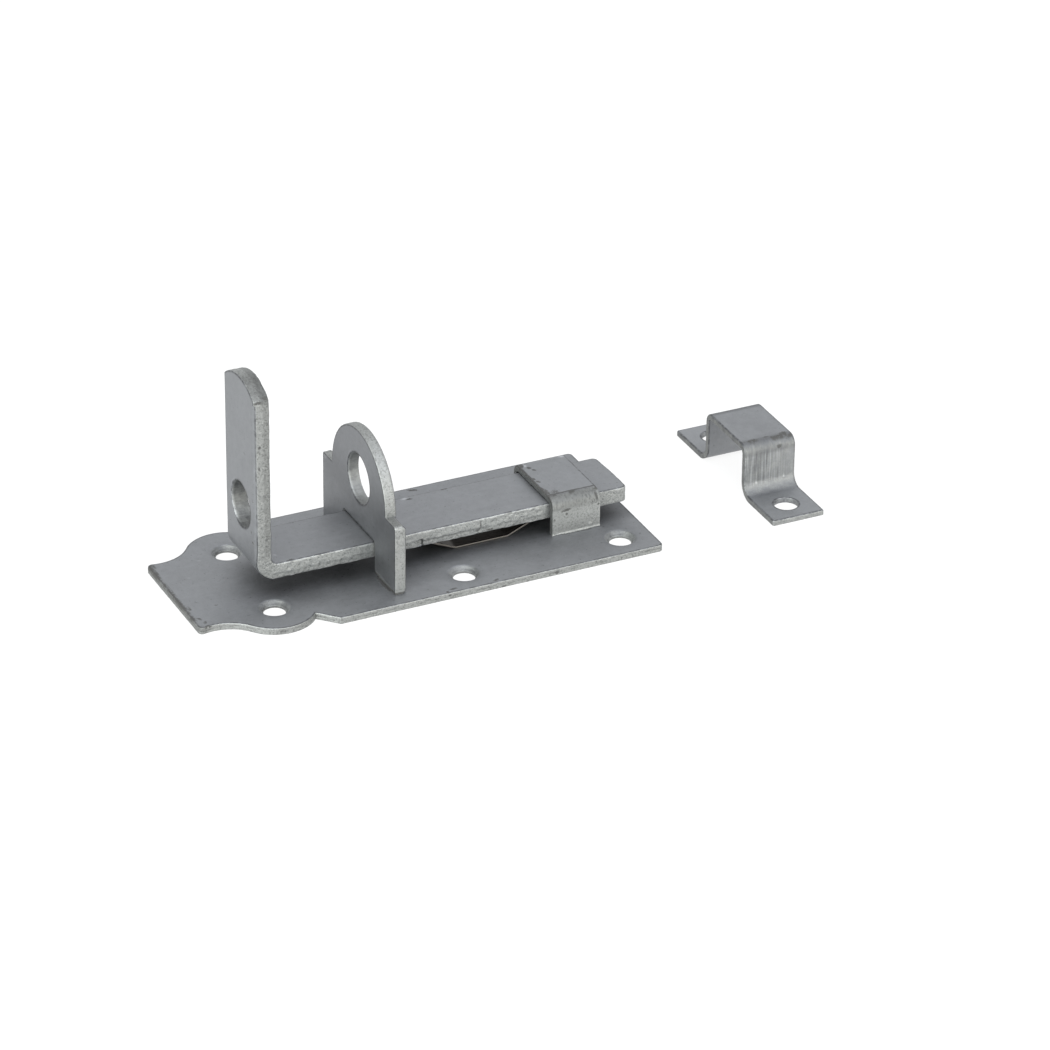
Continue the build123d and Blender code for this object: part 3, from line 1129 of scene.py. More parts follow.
        # Painted shade beside the bolt, and more on the near side between the arm and the staple.
        beside_bolt = bump(np.maximum(np.abs(flat[:, 1]) - 5.0, 0.0), 5.5)
        surface.shade(-self.painted_shade_beside_bolt, beside_bolt * slope(flat[:, 0], -40.0, -28.0))
        arm_travel = slope(flat[:, 0], -38.0, -26.0) * slope(flat[:, 0], 4.0, -8.0)
        surface.shade(-self.painted_shade_near_arm, bump(flat[:, 1] + 10.0, 8.0) * arm_travel)
        surface.tear(self.tear_height, reach=0.2, depth=0.05, seed=21)
        surface.roughen(cell=0.9, depth=0.03, seed=23)
        surface.mark(self.plate_marks())
        in_sink = slope(from_hole, sink + 0.1, sink - 0.2)
        # Painted shade on each countersink's far wall, and a little painted light on the rest of its cone.
        surface.shade(0.05 - 0.33 * slope(farther, 0.2, 0.8), in_sink)
        surface.scrape(0.6 * in_sink)

    @staticmethod
    def soil_tail(surface: Surface, end: float) -> None:
        """Darkens the rim at the tail's end and leaves handling dirt along its upper edge."""
        flat, height = surface.points[:, :2], surface.points[:, 2]
        at_end = slope(flat[:, 0], end + 2.0, end + 0.8)
        surface.shade(-0.2, at_end * surface.wall)
        upper_edge = bump(surface.edge - 0.3, 1.0) * slope(height, 0.4, 1.0)
        surface.soiled_and_shaded(at_end * upper_edge * (0.7 + 0.4 * Mottle(2.5, seed=25, octaves=2).at(flat)))

    def plate_marks(self) -> tuple[Mark, ...]:
        """Dirt at the tail's end, painted contact shadow at the staple's front feet, specks and nicks, and
        a darker near half.
        """
        top = Face.TOP
        return (
            Mark(top, (37.0, -14.0), (25.0, 12.0), tone=-0.18),
            Mark(top, (-48.6, -10.6), (1.5, 0.7), 130.0, soil_and_shadow=0.8),
            Mark(top, (-48.0, -12.4), (1.3, 0.6), 60.0, soil_and_shadow=0.9),
            Mark(top, (-48.4, -14.6), (1.7, 0.6), 110.0, soil_and_shadow=0.85),
            Mark(top, (-48.8, -6.0), (2.2, 0.7), 80.0, soil_and_shadow=0.7),
            Mark(top, (-49.0, 13.4), (3.0, 0.8), 100.0, soil_and_shadow=0.7),
            Mark(top, (-47.0, -14.6), (3.6, 0.6), -40.0, soil_and_shadow=0.85),
            Mark(top, (-43.4, -6.8), (0.9, 0.6), soil_and_shadow=0.85),
            # Painted contact shadow, laid down as soil, along the foot of the staple's front.
            Mark(top, (-9.2, -13.0), (0.9, 6.5), soil_and_shadow=1.0),
            Mark(top, (-9.2, 13.0), (0.9, 6.5), soil_and_shadow=1.0),
            Mark(top, (-18.5, 8.3), (12.0, 0.5), soil_and_shadow=0.5),
            Mark(top, (1.3, -21.4), (0.8, 0.7), soil_and_shadow=1.0, dent=0.1),
            Mark(top, (2.9, -20.7), (1.7, 0.6), 10.0, soil_and_shadow=1.0),
            Mark(top, (12.3, -21.0), (1.5, 0.6), 15.0, soil_and_shadow=1.0),
            Mark(top, (12.6, 20.7), (2.0, 0.7), -20.0, soil_and_shadow=1.0),
            Mark(top, (-39.6, 11.5), (0.6, 0.5), tone=0.22),
            Mark(top, (-44.1, 5.6), (0.6, 0.4), tone=0.2),
            Mark(top, (-31.0, 2.0), (9.0, 1.0), 12.0, tone=0.04),
            Mark(Face.NEAR_RIM, (25.6, 0.6), (1.0, 0.7), soil_and_shadow=0.9, dent=0.12),
            Mark(Face.NEAR_RIM, (13.6, 0.3), (1.3, 0.4), soil_and_shadow=0.8),
            Mark(Face.NEAR_RIM, (1.6, 1.0), (0.7, 0.5), soil_and_shadow=0.9),
            Mark(Face.NEAR_RIM, (-34.8, 0.7), (2.2, 1.0), soil_and_shadow=0.6),
        )

    def slots(self) -> list[np.ndarray]:
        """Outlines of the four slots that the tenons of staple and clip go through."""
        play = self.tenon_clearance
        staple_low, staple_high = extent("padlock_staple")
        clip_low, clip_high = extent("guide_clip")
        pairs = (
            (
                (staple_low[0] + staple_high[0]) / 2.0,
                (staple_high[1] + self.window_half_width) / 2.0,
                self.staple_thickness / 2.0 + play,
                self.tenon_width / 2.0 + play,
            ),
            (
                (clip_low[0] + clip_high[0]) / 2.0,
                self.clip_inner_half_width + self.clip_thickness / 2.0,
                self.tenon_width / 2.0 + play,
                self.clip_thickness / 2.0 + play,
            ),
        )
        return [
            outline(
                self.step,
                (x - half_x, side * y - half_y),
                (x + half_x, side * y - half_y),
                (x + half_x, side * y + half_y),
                (x - half_x, side * y + half_y),
            )
            for x, y, half_x, half_y in pairs
            for side in (-1, 1)
        ]

    def above_tenons(self, rise: np.ndarray) -> np.ndarray:
        """0 on the tenons, which are square, and 1 from the plate's top up, by the height of each point."""
        return np.clip((rise - self.plate_thickness) / self.peen_bevel + 1.0, 0.0, 1.0)

    def slot_section(self) -> np.ndarray:
        """Profile of a slot: a bevel at the underside for the peened head, then a straight wall."""
        wall = np.linspace(self.peen_bevel, self.plate_thickness, 5)
        return np.concatenate([[[self.peen_bevel, 0.0]], np.stack([0 * wall, wall], axis=1)])

    def staple(self) -> None:
        """The upright plate that straddles the bolt, cut out flat and stood on end."""
        low, high = extent("padlock_staple")
        shoulder = self.plate_thickness + self.shoulder_height
        outer = self.staple_outline(high[1], shoulder)
        hole = circle((0, self.padlock_axis), self.staple_hole_radius, self.fine_step)
        thickness = self.staple_thickness
        section = edge_section(thickness, self.staple_back_roll, self.staple_front_roll, rows=9)
        bore = edge_section(thickness, top_roll=0.15, foot_roll=0.3)
        roll = self.above_tenons(outer[:, 1])
        surface = Blank(outer, section, self.coarse_pitch, [(hole, bore)], roll).surface()
        self.work_staple(surface, shoulder)
        surface.mark(self.staple_marks())
        surface.spread_tenons(surface.points[:, 1].copy(), self.peen_bevel)
        along, up, out = surface.points.T
        front = (low[0] + high[0] - thickness) / 2.0
        piece = mesh_object("padlock_staple_punched", surface, np.column_stack([front + out, along, up]))
        hand_over(piece, "padlock_staple", BASE, self.zinc)

    def staple_outline(self, half: float, shoulder: float) -> np.ndarray:
        """Outline of the staple: two legs on tenons, square shoulders, a round arch and the window.

        Args:
            half: half of the staple's width.
            shoulder: height of the shoulders, and of the arch's middle.

        Returns:
            The outline, anticlockwise, as (along, up).
        """
        small, window, foot = self.shoulder_radius, self.window_radius, self.foot_radius
        inner, head, plate_top = self.window_half_width, self.window_top, self.plate_thickness
        near_tenon, far_tenon = (
            tenon((side * (half + inner) / 2.0, plate_top), self.tenon_width, plate_top, self.peen_bevel, 0)
            for side in (-1, 1)
        )
        return outline(
            self.step,
            arc((inner + foot, plate_top + foot), foot, 180, 270, self.corner_step),
            far_tenon,
            (half, plate_top),
            arc((half - small, shoulder - small), small, 0, 90, self.corner_step),
            arc((0, shoulder), self.arch_radius, 0, 180, self.step),
            arc((small - half, shoulder - small), small, 90, 180, self.corner_step),
            (-half, plate_top),
            near_tenon,
            arc((-inner - foot, plate_top + foot), foot, 270, 360, self.corner_step),
            arc((window - inner, head - window), window, 180, 90, self.corner_step),
            arc((inner - window, head - window), window, 90, 0, self.corner_step),
        )

    def work_staple(self, surface: Surface, shoulder: float) -> None:
        """Hammers and shades the staple, and draws in the edges that the punch pulled over.

        The front gets painted shade, light at the arch's top and deeper below, and a painted contact
        shadow, laid down as soil, where the feet meet the plate. The back edge droops at the shoulders
        and just above the plate. The padlock hole gets painted shade, with a painted highlight on one
        side of its lip.

        Args:
            surface: the blank.
            shoulder: height of the shoulders.
        """
        marks = 0.02 * Mottle(8.0, seed=3, octaves=2).at(surface.points[:, :2])
        surface.press(top=marks, under=marks)
        surface.roughen(cell=0.8, depth=0.045, seed=31)
        # The tenons' ends stay flush with the back of the plate.
        surface.points[:, 1] = np.maximum(surface.points[:, 1], 0.0)
        along, up, out = surface.points.T
        above_plate = up - self.plate_thickness
        on_shoulders = slope(np.abs(along), self.arch_radius - 0.1, self.arch_radius + 0.4)
        surface.shade(-0.3, on_shoulders * bump(up - shoulder, 0.4) * (along < 0.0) * surface.wall)
        # Painted shade on the front face, light at the arch's top and deeper below.
        front_painted_shade = 0.05 + 0.12 * slope(up, 24.0, 12.0) + 0.12 * bump(up - 17.0, 7.0)
        surface.shade(-front_painted_shade, slope(surface.wall, 0.5, 0.1))
        surface.shade(0.06, slope(up, shoulder + 1.0, shoulder - 1.0) * surface.wall)
        droop = self.shoulder_droop * on_shoulders * bump(up - shoulder, 0.9)
        droop += self.foot_droop * bump(above_plate, 0.7) * (above_plate >= 0.0)
        surface.press(top=-droop)
        # Painted contact shadow, laid down as soil, where the staple stands on the plate.
        surface.soiled_and_shaded(bump(above_plate - 0.1, 0.7))
        from_hole = np.hypot(along, up - self.padlock_axis) - self.staple_hole_radius
        # Painted shade in the padlock hole, and a painted highlight on one side of its lip.
        surface.shade(-0.22, slope(from_hole, 0.6, 0.2))
        lip = bump(from_hole - 0.15, 0.35) * slope(out, 0.7, 0.2)
        surface.shade(0.6, lip * slope(along, 1.0, 3.5))

    def staple_marks(self) -> tuple[Mark, ...]:
        """Specks on the front face and a lighter patch on the far shoulder."""
        front = Face.UNDER
        return (
            Mark(front, (17.0, 16.2), (1.1, 0.8), -30.0, tone=0.35),
            Mark(front, (-3.0, 25.6), (0.7, 0.5), soil_and_shadow=0.6),
            Mark(front, (-14.8, 8.0), (0.5, 0.4), soil_and_shadow=0.6),
            Mark(front, (-12.4, 12.6), (0.6, 0.4), soil_and_shadow=0.5),
            Mark(front, (11.0, 12.0), (3.0, 1.6), 70.0, tone=0.04),
            Mark(front, (-9.0, 4.5), (2.0, 3.4), tone=-0.06),
        )

    def clip(self) -> None:
        """The strap folded over the bolt, its blank bent twice round the fold."""
        low, high = extent("guide_clip")
        fold, thick, foot = self.clip_fold, self.clip_thickness, self.plate_thickness
        leg = self.clip_inner_top - fold
        top = 2.0 * (self.clip_inner_half_width - fold)
        quarter = QUARTER * fold
        line = BendLine(
            start=(-self.clip_inner_half_width, 0.0),
            heading=90.0,
            runs=((leg, 0.0), (quarter, -90.0), (top, 0.0), (quarter, -90.0), (leg, 0.0)),
        )
        half, length = (high[0] - low[0]) / 2.0, line.length()
        outer = outline(
            self.clip_step,
            (foot, -half),
            (length - foot, -half),
            tenon((length - foot, 0.0), self.tenon_width, foot, self.peen_bevel, 90.0),
            (length - foot, half),
            (foot, half),
            tenon((foot, 0.0), self.tenon_width, foot, self.peen_bevel, -90.0),
        )
        roll = self.above_tenons(np.minimum(outer[:, 0], length - outer[:, 0]))
        section = edge_section(thick, self.clip_roll, foot_roll=0.1)
        surface = Blank(outer, section, self.clip_pitch, roll=roll).surface()
        marks = 0.015 * Mottle(4.0, seed=5, octaves=2).at(surface.points[:, :2])
        surface.press(top=marks, under=0.3 * marks)
        surface.roughen(cell=0.7, depth=0.03, seed=41)
        # The tenons' ends stay flush with the back of the plate.
        surface.points[:, 0] = np.clip(surface.points[:, 0], 0.0, length)
        surface.mark(self.clip_marks())
        self.work_clip(surface, leg, half)
        from_end = np.minimum(surface.points[:, 0], length - surface.points[:, 0])
        surface.spread_tenons(from_end, self.peen_bevel)
        along, across, height = surface.points.T
        middle = (high[0] + low[0]) / 2.0
        places = np.column_stack([middle - across, line.at(along, height)])
        piece = mesh_object("guide_clip_folded", surface, places)
        hand_over(piece, "guide_clip", BASE, self.zinc)

    def work_clip(self, surface: Surface, leg: float, half: float) -> None:
        """Shades the clip's edges and near fold, and scrapes its near leg.

        The rim towards the staple gets painted shade and the edge towards the keep is brighter. Dirt is
        rubbed in streaks into the near fold, above a dark seam, and painted shade covers the fold. The near
        leg gets painted light that turns to painted shade towards its foot, where a bright burr lies.

        Args:
            surface: the blank.
            leg: length of a leg, where the first fold starts.
            half: half of the strap's width.
        """
        along, across, height = surface.points.T
        outside = slope(height, 0.5 * self.clip_thickness, self.clip_thickness)
        towards_staple = slope(across, half - 0.6, half - 0.2)
        # Painted shade on the rim that faces the staple.
        surface.shade(-self.clip_rim_painted_shade, towards_staple * slope(surface.wall, 0.1, 0.6))
        surface.shade(0.16, slope(across, 0.6 - half, 0.2 - half) * slope(surface.wall, 0.5, 0.1))
        streaks = Mottle(0.6, seed=43, octaves=3).at(np.column_stack([along, 0.3 * across]))
        rubbed = np.clip(0.85 + 0.9 * streaks, 0.0, 1.0) * (0.7 + 0.3 * slope(across, -7.0, 3.0))
        surface.soiled_and_shaded(rubbed * bump(along - leg - 1.5, 0.9) * outside)
        stray = 0.25 * Mottle(3.0, seed=45, octaves=2).at(0.4 * surface.points[:, :2])
        surface.soiled_and_shaded(0.95 * bump(along - leg - 1.95 - stray, 0.4) * outside)
        # Painted shade over the near fold's highlight.
        surface.shade(-self.clip_fold_painted_shade, bump(along - leg - 0.8, 1.6) * outside)
        near_leg = slope(along, leg + 0.5, leg - 0.5) * outside
        # Painted light on the near leg, turning to painted shade towards its foot at the plate.
        surface.shade(0.17 - 0.24 * slope(along, 5.0, 2.0), near_leg)
        burr = bump(along - self.plate_thickness - 0.15, 0.4) * near_leg
        surface.shade(0.9, burr)
        surface.press(top=self.clip_burr * burr)
        surface.scrape(self.clip_leg_scrape * slope(along, leg + 2.1, leg + 1.1) * outside)
        surface.soiled_and_shaded(0.8 * bump(across - 5.5, 0.5) * outside * slope(along, 7.0, 9.0))

    def clip_marks(self) -> tuple[Mark, ...]:
        """Dirt rubbed into the near fold and the rim towards the staple, and specks of bare zinc."""
        top = Face.TOP
        return (
            Mark(top, (10.2, 3.4), (2.0, 2.4), 20.0, soil_and_shadow=0.6),
            Mark(top, (10.9, 4.9), (3.0, 0.8), soil_and_shadow=0.85),
            Mark(top, (12.6, 5.2), (0.9, 0.5), soil_and_shadow=1.0),
            Mark(top, (15.6, 4.6), (1.0, 0.6), 30.0, soil_and_shadow=1.0),
            Mark(top, (17.0, 4.9), (1.0, 0.5), 10.0, soil_and_shadow=1.0),
            Mark(top, (20.6, 3.2), (0.9, 0.6), 40.0, soil_and_shadow=0.95),
            Mark(top, (21.8, 3.8), (1.0, 0.8), 40.0, soil_and_shadow=1.0),
            Mark(top, (23.2, 4.9), (1.8, 0.9), -20.0, soil_and_shadow=1.0),
            Mark(top, (22.9, 4.2), (0.6, 0.5), tone=0.8),
            Mark(top, (23.5, -4.6), (1.1, 0.5), 80.0, tone=0.8),
            Mark(top, (7.0, 2.4), (0.5, 2.2), 8.0, soil_and_shadow=0.95),
            Mark(top, (8.0, -4.6), (1.0, 0.5), 20.0, soil_and_shadow=0.8),
            Mark(top, (6.8, -5.0), (0.5, 0.5), soil_and_shadow=0.9),
            Mark(top, (6.1, 2.3), (0.6, 0.5), soil_and_shadow=0.95),
            Mark(top, (5.2, 5.0), (0.6, 0.6), soil_and_shadow=0.7),
            Mark(top, (5.6, -2.5), (1.0, 1.6), tone=0.12),
            Mark(top, (2.6, -3.2), (0.6, 0.8), tone=0.3, dent=-0.08),
        )

    def spring(self) -> None:
        """The bowed strip: a flat middle and two straight arms that rise to the bolt."""
        low, high = extent("leaf_spring")
        middle = (high[0] + low[0]) / 2.0
        half = (high[1] - low[1]) / 2.0
        thick = self.spring_thickness
        rise = high[2] - low[2] - thick
        reach = (high[0] - low[0] - self.spring_flat) / 2.0
        pitch_angle = math.degrees(math.atan2(rise, reach))
        trim = self.spring_bend * math.tan(math.radians(pitch_angle) / 2.0)
        bend = self.spring_bend * math.radians(pitch_angle)
        arm = math.hypot(reach, rise) - trim
        flat_run = self.spring_flat - 2.0 * trim
        line = BendLine(
            start=(low[0], low[2] + rise),
            heading=-pitch_angle,
            runs=((arm, 0.0), (bend, pitch_angle), (flat_run, 0.0), (bend, pitch_angle), (arm, 0.0)),
        )
        outer = rounded_box((0.0, -half), (line.length(), half), self.spring_corner, self.fine_step)
        section = edge_section(thick, top_roll=0.1, foot_roll=0.1, rows=3)
        surface = Blank(outer, section, self.coarse_pitch).surface()
        along, across, height = surface.points.T
        bowed = line.at(along, height)
        places = np.column_stack([bowed[:, 0], across, bowed[:, 1]])
        piece = mesh_object("leaf_spring_bowed", surface, places)
        hand_over(piece, "leaf_spring", BASE, self.steel)


# The sliding bolt

@dataclass
class SlidingBolt:
    """The flat bar and the arm bent up from it."""

    zinc: bpy.types.Material
    step: float = 0.25
    pitch: float = 0.45
    thickness: float = 3.5
    bend_radius: float = 1.3
    edge_roll: float = 0.35
    tip_radius: float = 1.2
    tip_step: float = 0.2
    crown_rise: float = 2.7
    hole_radius: float = 4.85
    padlock_axis: float = 19.4
    nick_from_tip: float = 47.0
    nick_width: float = 0.9
    nick_depth: float = 0.5
    nick_height: float = 1.7
    corner_wear: float = 0.5
    front_rounding: float = 0.45
    crown_shade: float = 0.36
    bore_painted_shade: float = 0.38
    torn_depth: float = 0.07
    ledge_height: float = 1.25
    ledge_depth: float = 0.06

    def build(self) -> None:
        """Builds the bar flat, bends its arm up and hands it over."""
        low, high = extent("bolt")
        outer_radius = self.bend_radius + self.thickness
        arm = high[2] - low[2] - outer_radius
        bar = high[0] - low[0] - outer_radius
        line = BendLine(
            start=(low[0], high[2]),
            heading=-90.0,
            runs=((arm, 0.0), (QUARTER * outer_radius, 90.0), (bar, 0.0)),
        )
        length, half = line.length(), high[1]
        outer = self.bar_outline(length, half)
        hole_place = high[2] - self.padlock_axis
        hole = circle((hole_place, 0.0), self.hole_radius, self.step)
        section = edge_section(self.thickness, self.edge_roll, self.edge_roll, rows=14)
        bore = edge_section(self.thickness, top_roll=0.15, foot_roll=0.3, rows=8)
        uneven = np.clip(1.2 + 0.8 * Mottle(1.5, seed=57, octaves=2).at(outer), 0.5, 2.0)
        roll = np.where(outer[:, 1] < 0.0, uneven, 1.0)
        surface = Blank(outer, section, self.pitch, [(hole, bore)], roll).surface()
        marks = 0.02 * Mottle(9.0, seed=7, octaves=2).at(surface.points[:, :2])
        surface.press(top=marks, under=marks)
        self.nick(surface, length)
        self.shear(surface, arm)
        surface.mark(self.marks())
        self.work_arm(surface, arm, half, hole_place)
        self.wear_tip(surface, length, half)
        along, across, height = surface.points.T
        bent = line.at(along, height)
        places = np.column_stack([bent[:, 0], across, bent[:, 1]])
        piece = mesh_object("bolt_bent_bar", surface, places)
        hand_over(piece, "bolt", SLIDER, self.zinc)

    def bar_outline(self, length: float, half: float) -> np.ndarray:
        """The bar's outline: a crown of one arc at the arm's end and rounded corners at the tip.

        The crown's radius is (h² + c²) / 2c for a half width h and a rise c.

        Args:
            length: length of the bent bar's blank, from the crown to the tip.
            half: half of its width.

        Returns:
            The outline, anticlockwise.
        """
        crown = (half**2 + self.crown_rise**2) / (2.0 * self.crown_rise)
        side = math.degrees(math.asin(half / crown))
        tip = self.tip_radius
        return outline(
            self.step,
            arc((length - tip, tip - half), tip, -90, 0, self.tip_step),
            arc((length - tip, half - tip), tip, 0, 90, self.tip_step),
            arc((crown, 0.0), crown, 180.0 - side, 180.0 + side, self.step),
        )

    def nick(self, surface: Surface, length: float) -> None:
        """Cuts the small nick into the bar's near edge."""
        along, across, height = surface.points.T
        from_tip = length - along
        at_nick = (
            (np.abs(from_tip - self.nick_from_tip) < self.nick_width / 2.0)
            & (height < self.nick_height)
            & (across < 0.0)
        )
        surface.cut_back(np.where(at_nick, self.nick_depth * surface.wall, 0.0))

    def work_arm(self, surface: Surface, arm: float, half: float, hole_place: float) -> None:
        """Soils the crown, paints shade in the arm's hole and a highlight on its lip, and rounds the near
        front edge.

        Args:
            surface: the blank.
            arm: length of the straight arm.
            half: half of the bar's width.
            hole_place: distance of the hole's middle from the crown's top.
        """
        along, across, height = surface.points.T
        crowned = slope(along, self.crown_rise + 0.8, self.crown_rise - 0.4) * surface.wall
        nearer = slope(across, 2.5, -3.0)
        surface.soiled_and_shaded((0.24 + 0.1 * nearer) * crowned)
        surface.shade(-self.crown_shade, crowned * nearer)
        from_hole = np.hypot(along - hole_place, across) - self.hole_radius
        # Painted shade in the arm's hole, and a painted highlight on one side of its lip.
        surface.shade(-self.bore_painted_shade, slope(from_hole, 0.6, 0.2))
        lip = bump(from_hole - 0.15, 0.35) * slope(height, 0.7, 0.2)
        surface.shade(0.9, lip * slope(across, 0.5, 3.0))
        rounded = slope(along, arm + 3.0, arm - 3.0) * bump(across + half, 1.3) * (along > 3.5)
        surface.press(under=self.front_rounding * rounded)

    def wear_tip(self, surface: Surface, length: float, half: float) -> None:
        """Lowers the far corner of the tip, worn by the keep."""
        along, across, _ = surface.points.T
        worn = slope(along, length - 7.5, length - 4.5) * slope(across, -2.0, half)
        surface.press(top=-self.corner_wear * worn)

    def shear(self, surface: Surface, arm: float) -> None:
        """Dresses the sheared rims: a bright burnished stripe and a duller torn one beside it.

        The torn stripe lies on the inner side of the arm and on the under side of the bar. A ragged
        line parts the two, a dark ledge runs along the middle of the bar, and the last stretch before
        the tip is blistered.

        Args:
            surface: the blank.
            arm: length of the straight arm, from which the bend starts.
        """
        flat = surface.points[:, :2]
        along, height = surface.points[:, 0], surface.points[:, 2]
        rim = surface.wall
        ragged = height + 0.22 * Mottle(1.3, seed=51, octaves=3).at(flat)
        on_arm = slope(along, arm + 3.0, arm - 3.0)
        on_bar = slope(along, arm + 4.0, arm + 8.0) * slope(along, 112.0, 106.0)
        torn = on_arm * slope(ragged, 1.75, 2.05) + on_bar * slope(ragged, 1.45, 1.1)
        surface.shade(0.10 - 0.05 * on_arm + 0.14 * on_bar - 0.2 * torn, rim)
        surface.cut_back(self.torn_depth * torn * rim)
        straight = height + 0.1 * Mottle(1.3, seed=52, octaves=3).at(flat)
        stretch = slope(along, 92.5, 91.0) * slope(along, 76.0, 79.0)
        ledge = on_bar * bump(straight - self.ledge_height, 0.28) * stretch * rim
        surface.shade(-0.4, ledge)
        surface.cut_back(self.ledge_depth * ledge)
        surface.shade(0.3, on_bar * bump(height - 0.15, 0.25) * slope(rim, 0.05, 0.5))
        surface.roughen(cell=0.7, depth=0.05, seed=53)
        blistered = bump(along - 100.0, 8.0) * slope(ragged, 1.0, 1.4) * rim
        surface.cut_back(blistered * 0.09 * Mottle(0.8, seed=55, octaves=2).at(surface.points))

    @staticmethod
    def marks() -> tuple[Mark, ...]:
        """Dents, blisters, a short groove and scuffs, mostly along the near rim."""
        rim, top, outer = Face.NEAR_RIM, Face.TOP, Face.UNDER
        return (
            Mark(rim, (91.6, 2.1), (2.0, 0.3), 90.0, soil_and_shadow=0.75, tone=-0.3, dent=0.16),
            Mark(rim, (91.0, 0.8), (0.9, 0.4), 20.0, soil_and_shadow=0.9, dent=0.1),
            Mark(rim, (102.9, 3.0), (0.7, 0.5), tone=0.1, dent=-0.14),
            Mark(rim, (104.4, 2.7), (0.7, 0.5), tone=0.1, dent=-0.14),
            Mark(rim, (93.6, 0.5), (1.9, 0.5), soil_and_shadow=0.85),
            Mark(rim, (99.0, 0.4), (2.4, 0.4), soil_and_shadow=0.6),
            Mark(rim, (13.0, 0.9), (0.6, 0.7), soil_and_shadow=1.0, dent=0.1),
            Mark(rim, (14.3, 0.9), (0.8, 0.5), soil_and_shadow=0.7),
            Mark(rim, (17.8, 0.7), (0.6, 0.5), soil_and_shadow=0.95),
            Mark(rim, (3.0, 1.0), (0.6, 1.8), 4.0, soil_and_shadow=0.9, dent=0.06),
            Mark(rim, (2.4, 2.7), (0.6, 1.3), -12.0, soil_and_shadow=0.75),
            Mark(rim, (77.6, 1.0), (0.8, 1.3), soil_and_shadow=0.45),
            Mark(top, (49.4, -7.0), (1.6, 0.6), 5.0, soil_and_shadow=1.0, dent=0.08),
            Mark(top, (90.0, 7.0), (1.6, 0.5), soil_and_shadow=1.0),
            Mark(top, (81.6, 6.2), (1.3, 0.6), 5.0, soil_and_shadow=1.0),
            Mark(top, (80.8, 6.8), (1.1, 0.5), 5.0, tone=1.1),
            Mark(top, (47.2, -4.0), (0.8, 0.25), 35.0, tone=0.45),
            Mark(top, (47.9, -4.6), (0.5, 0.2), -20.0, tone=0.3),
            Mark(top, (62.0, -2.5), (9.0, 0.6), 8.0, tone=0.05),
            Mark(top, (58.0, 1.5), (7.0, 0.5), 14.0, tone=0.05),
            Mark(top, (97.0, 3.0), (6.0, 0.5), -6.0, tone=-0.05),
            Mark(top, (70.0, 3.0), (6.0, 1.2), 10.0, tone=0.05),
            Mark(top, (80.5, -1.0), (12.0, 1.0), 4.0, tone=0.04),
            Mark(top, (96.0, -4.0), (9.0, 1.4), 3.0, tone=-0.05),
            Mark(outer, (16.2, -2.6), (2.2, 1.3), 60.0, soil_and_shadow=0.45),
            Mark(outer, (19.5, -1.8), (3.4, 1.8), 5.0, tone=-0.06),
            Mark(outer, (25.5, -6.4), (0.8, 0.5), soil_and_shadow=1.0),
            Mark(outer, (33.0, -5.3), (0.9, 0.5), 30.0, soil_and_shadow=0.85),
            Mark(outer, (35.0, -6.1), (1.4, 0.5), 70.0, soil_and_shadow=0.9),
        )


# The keep

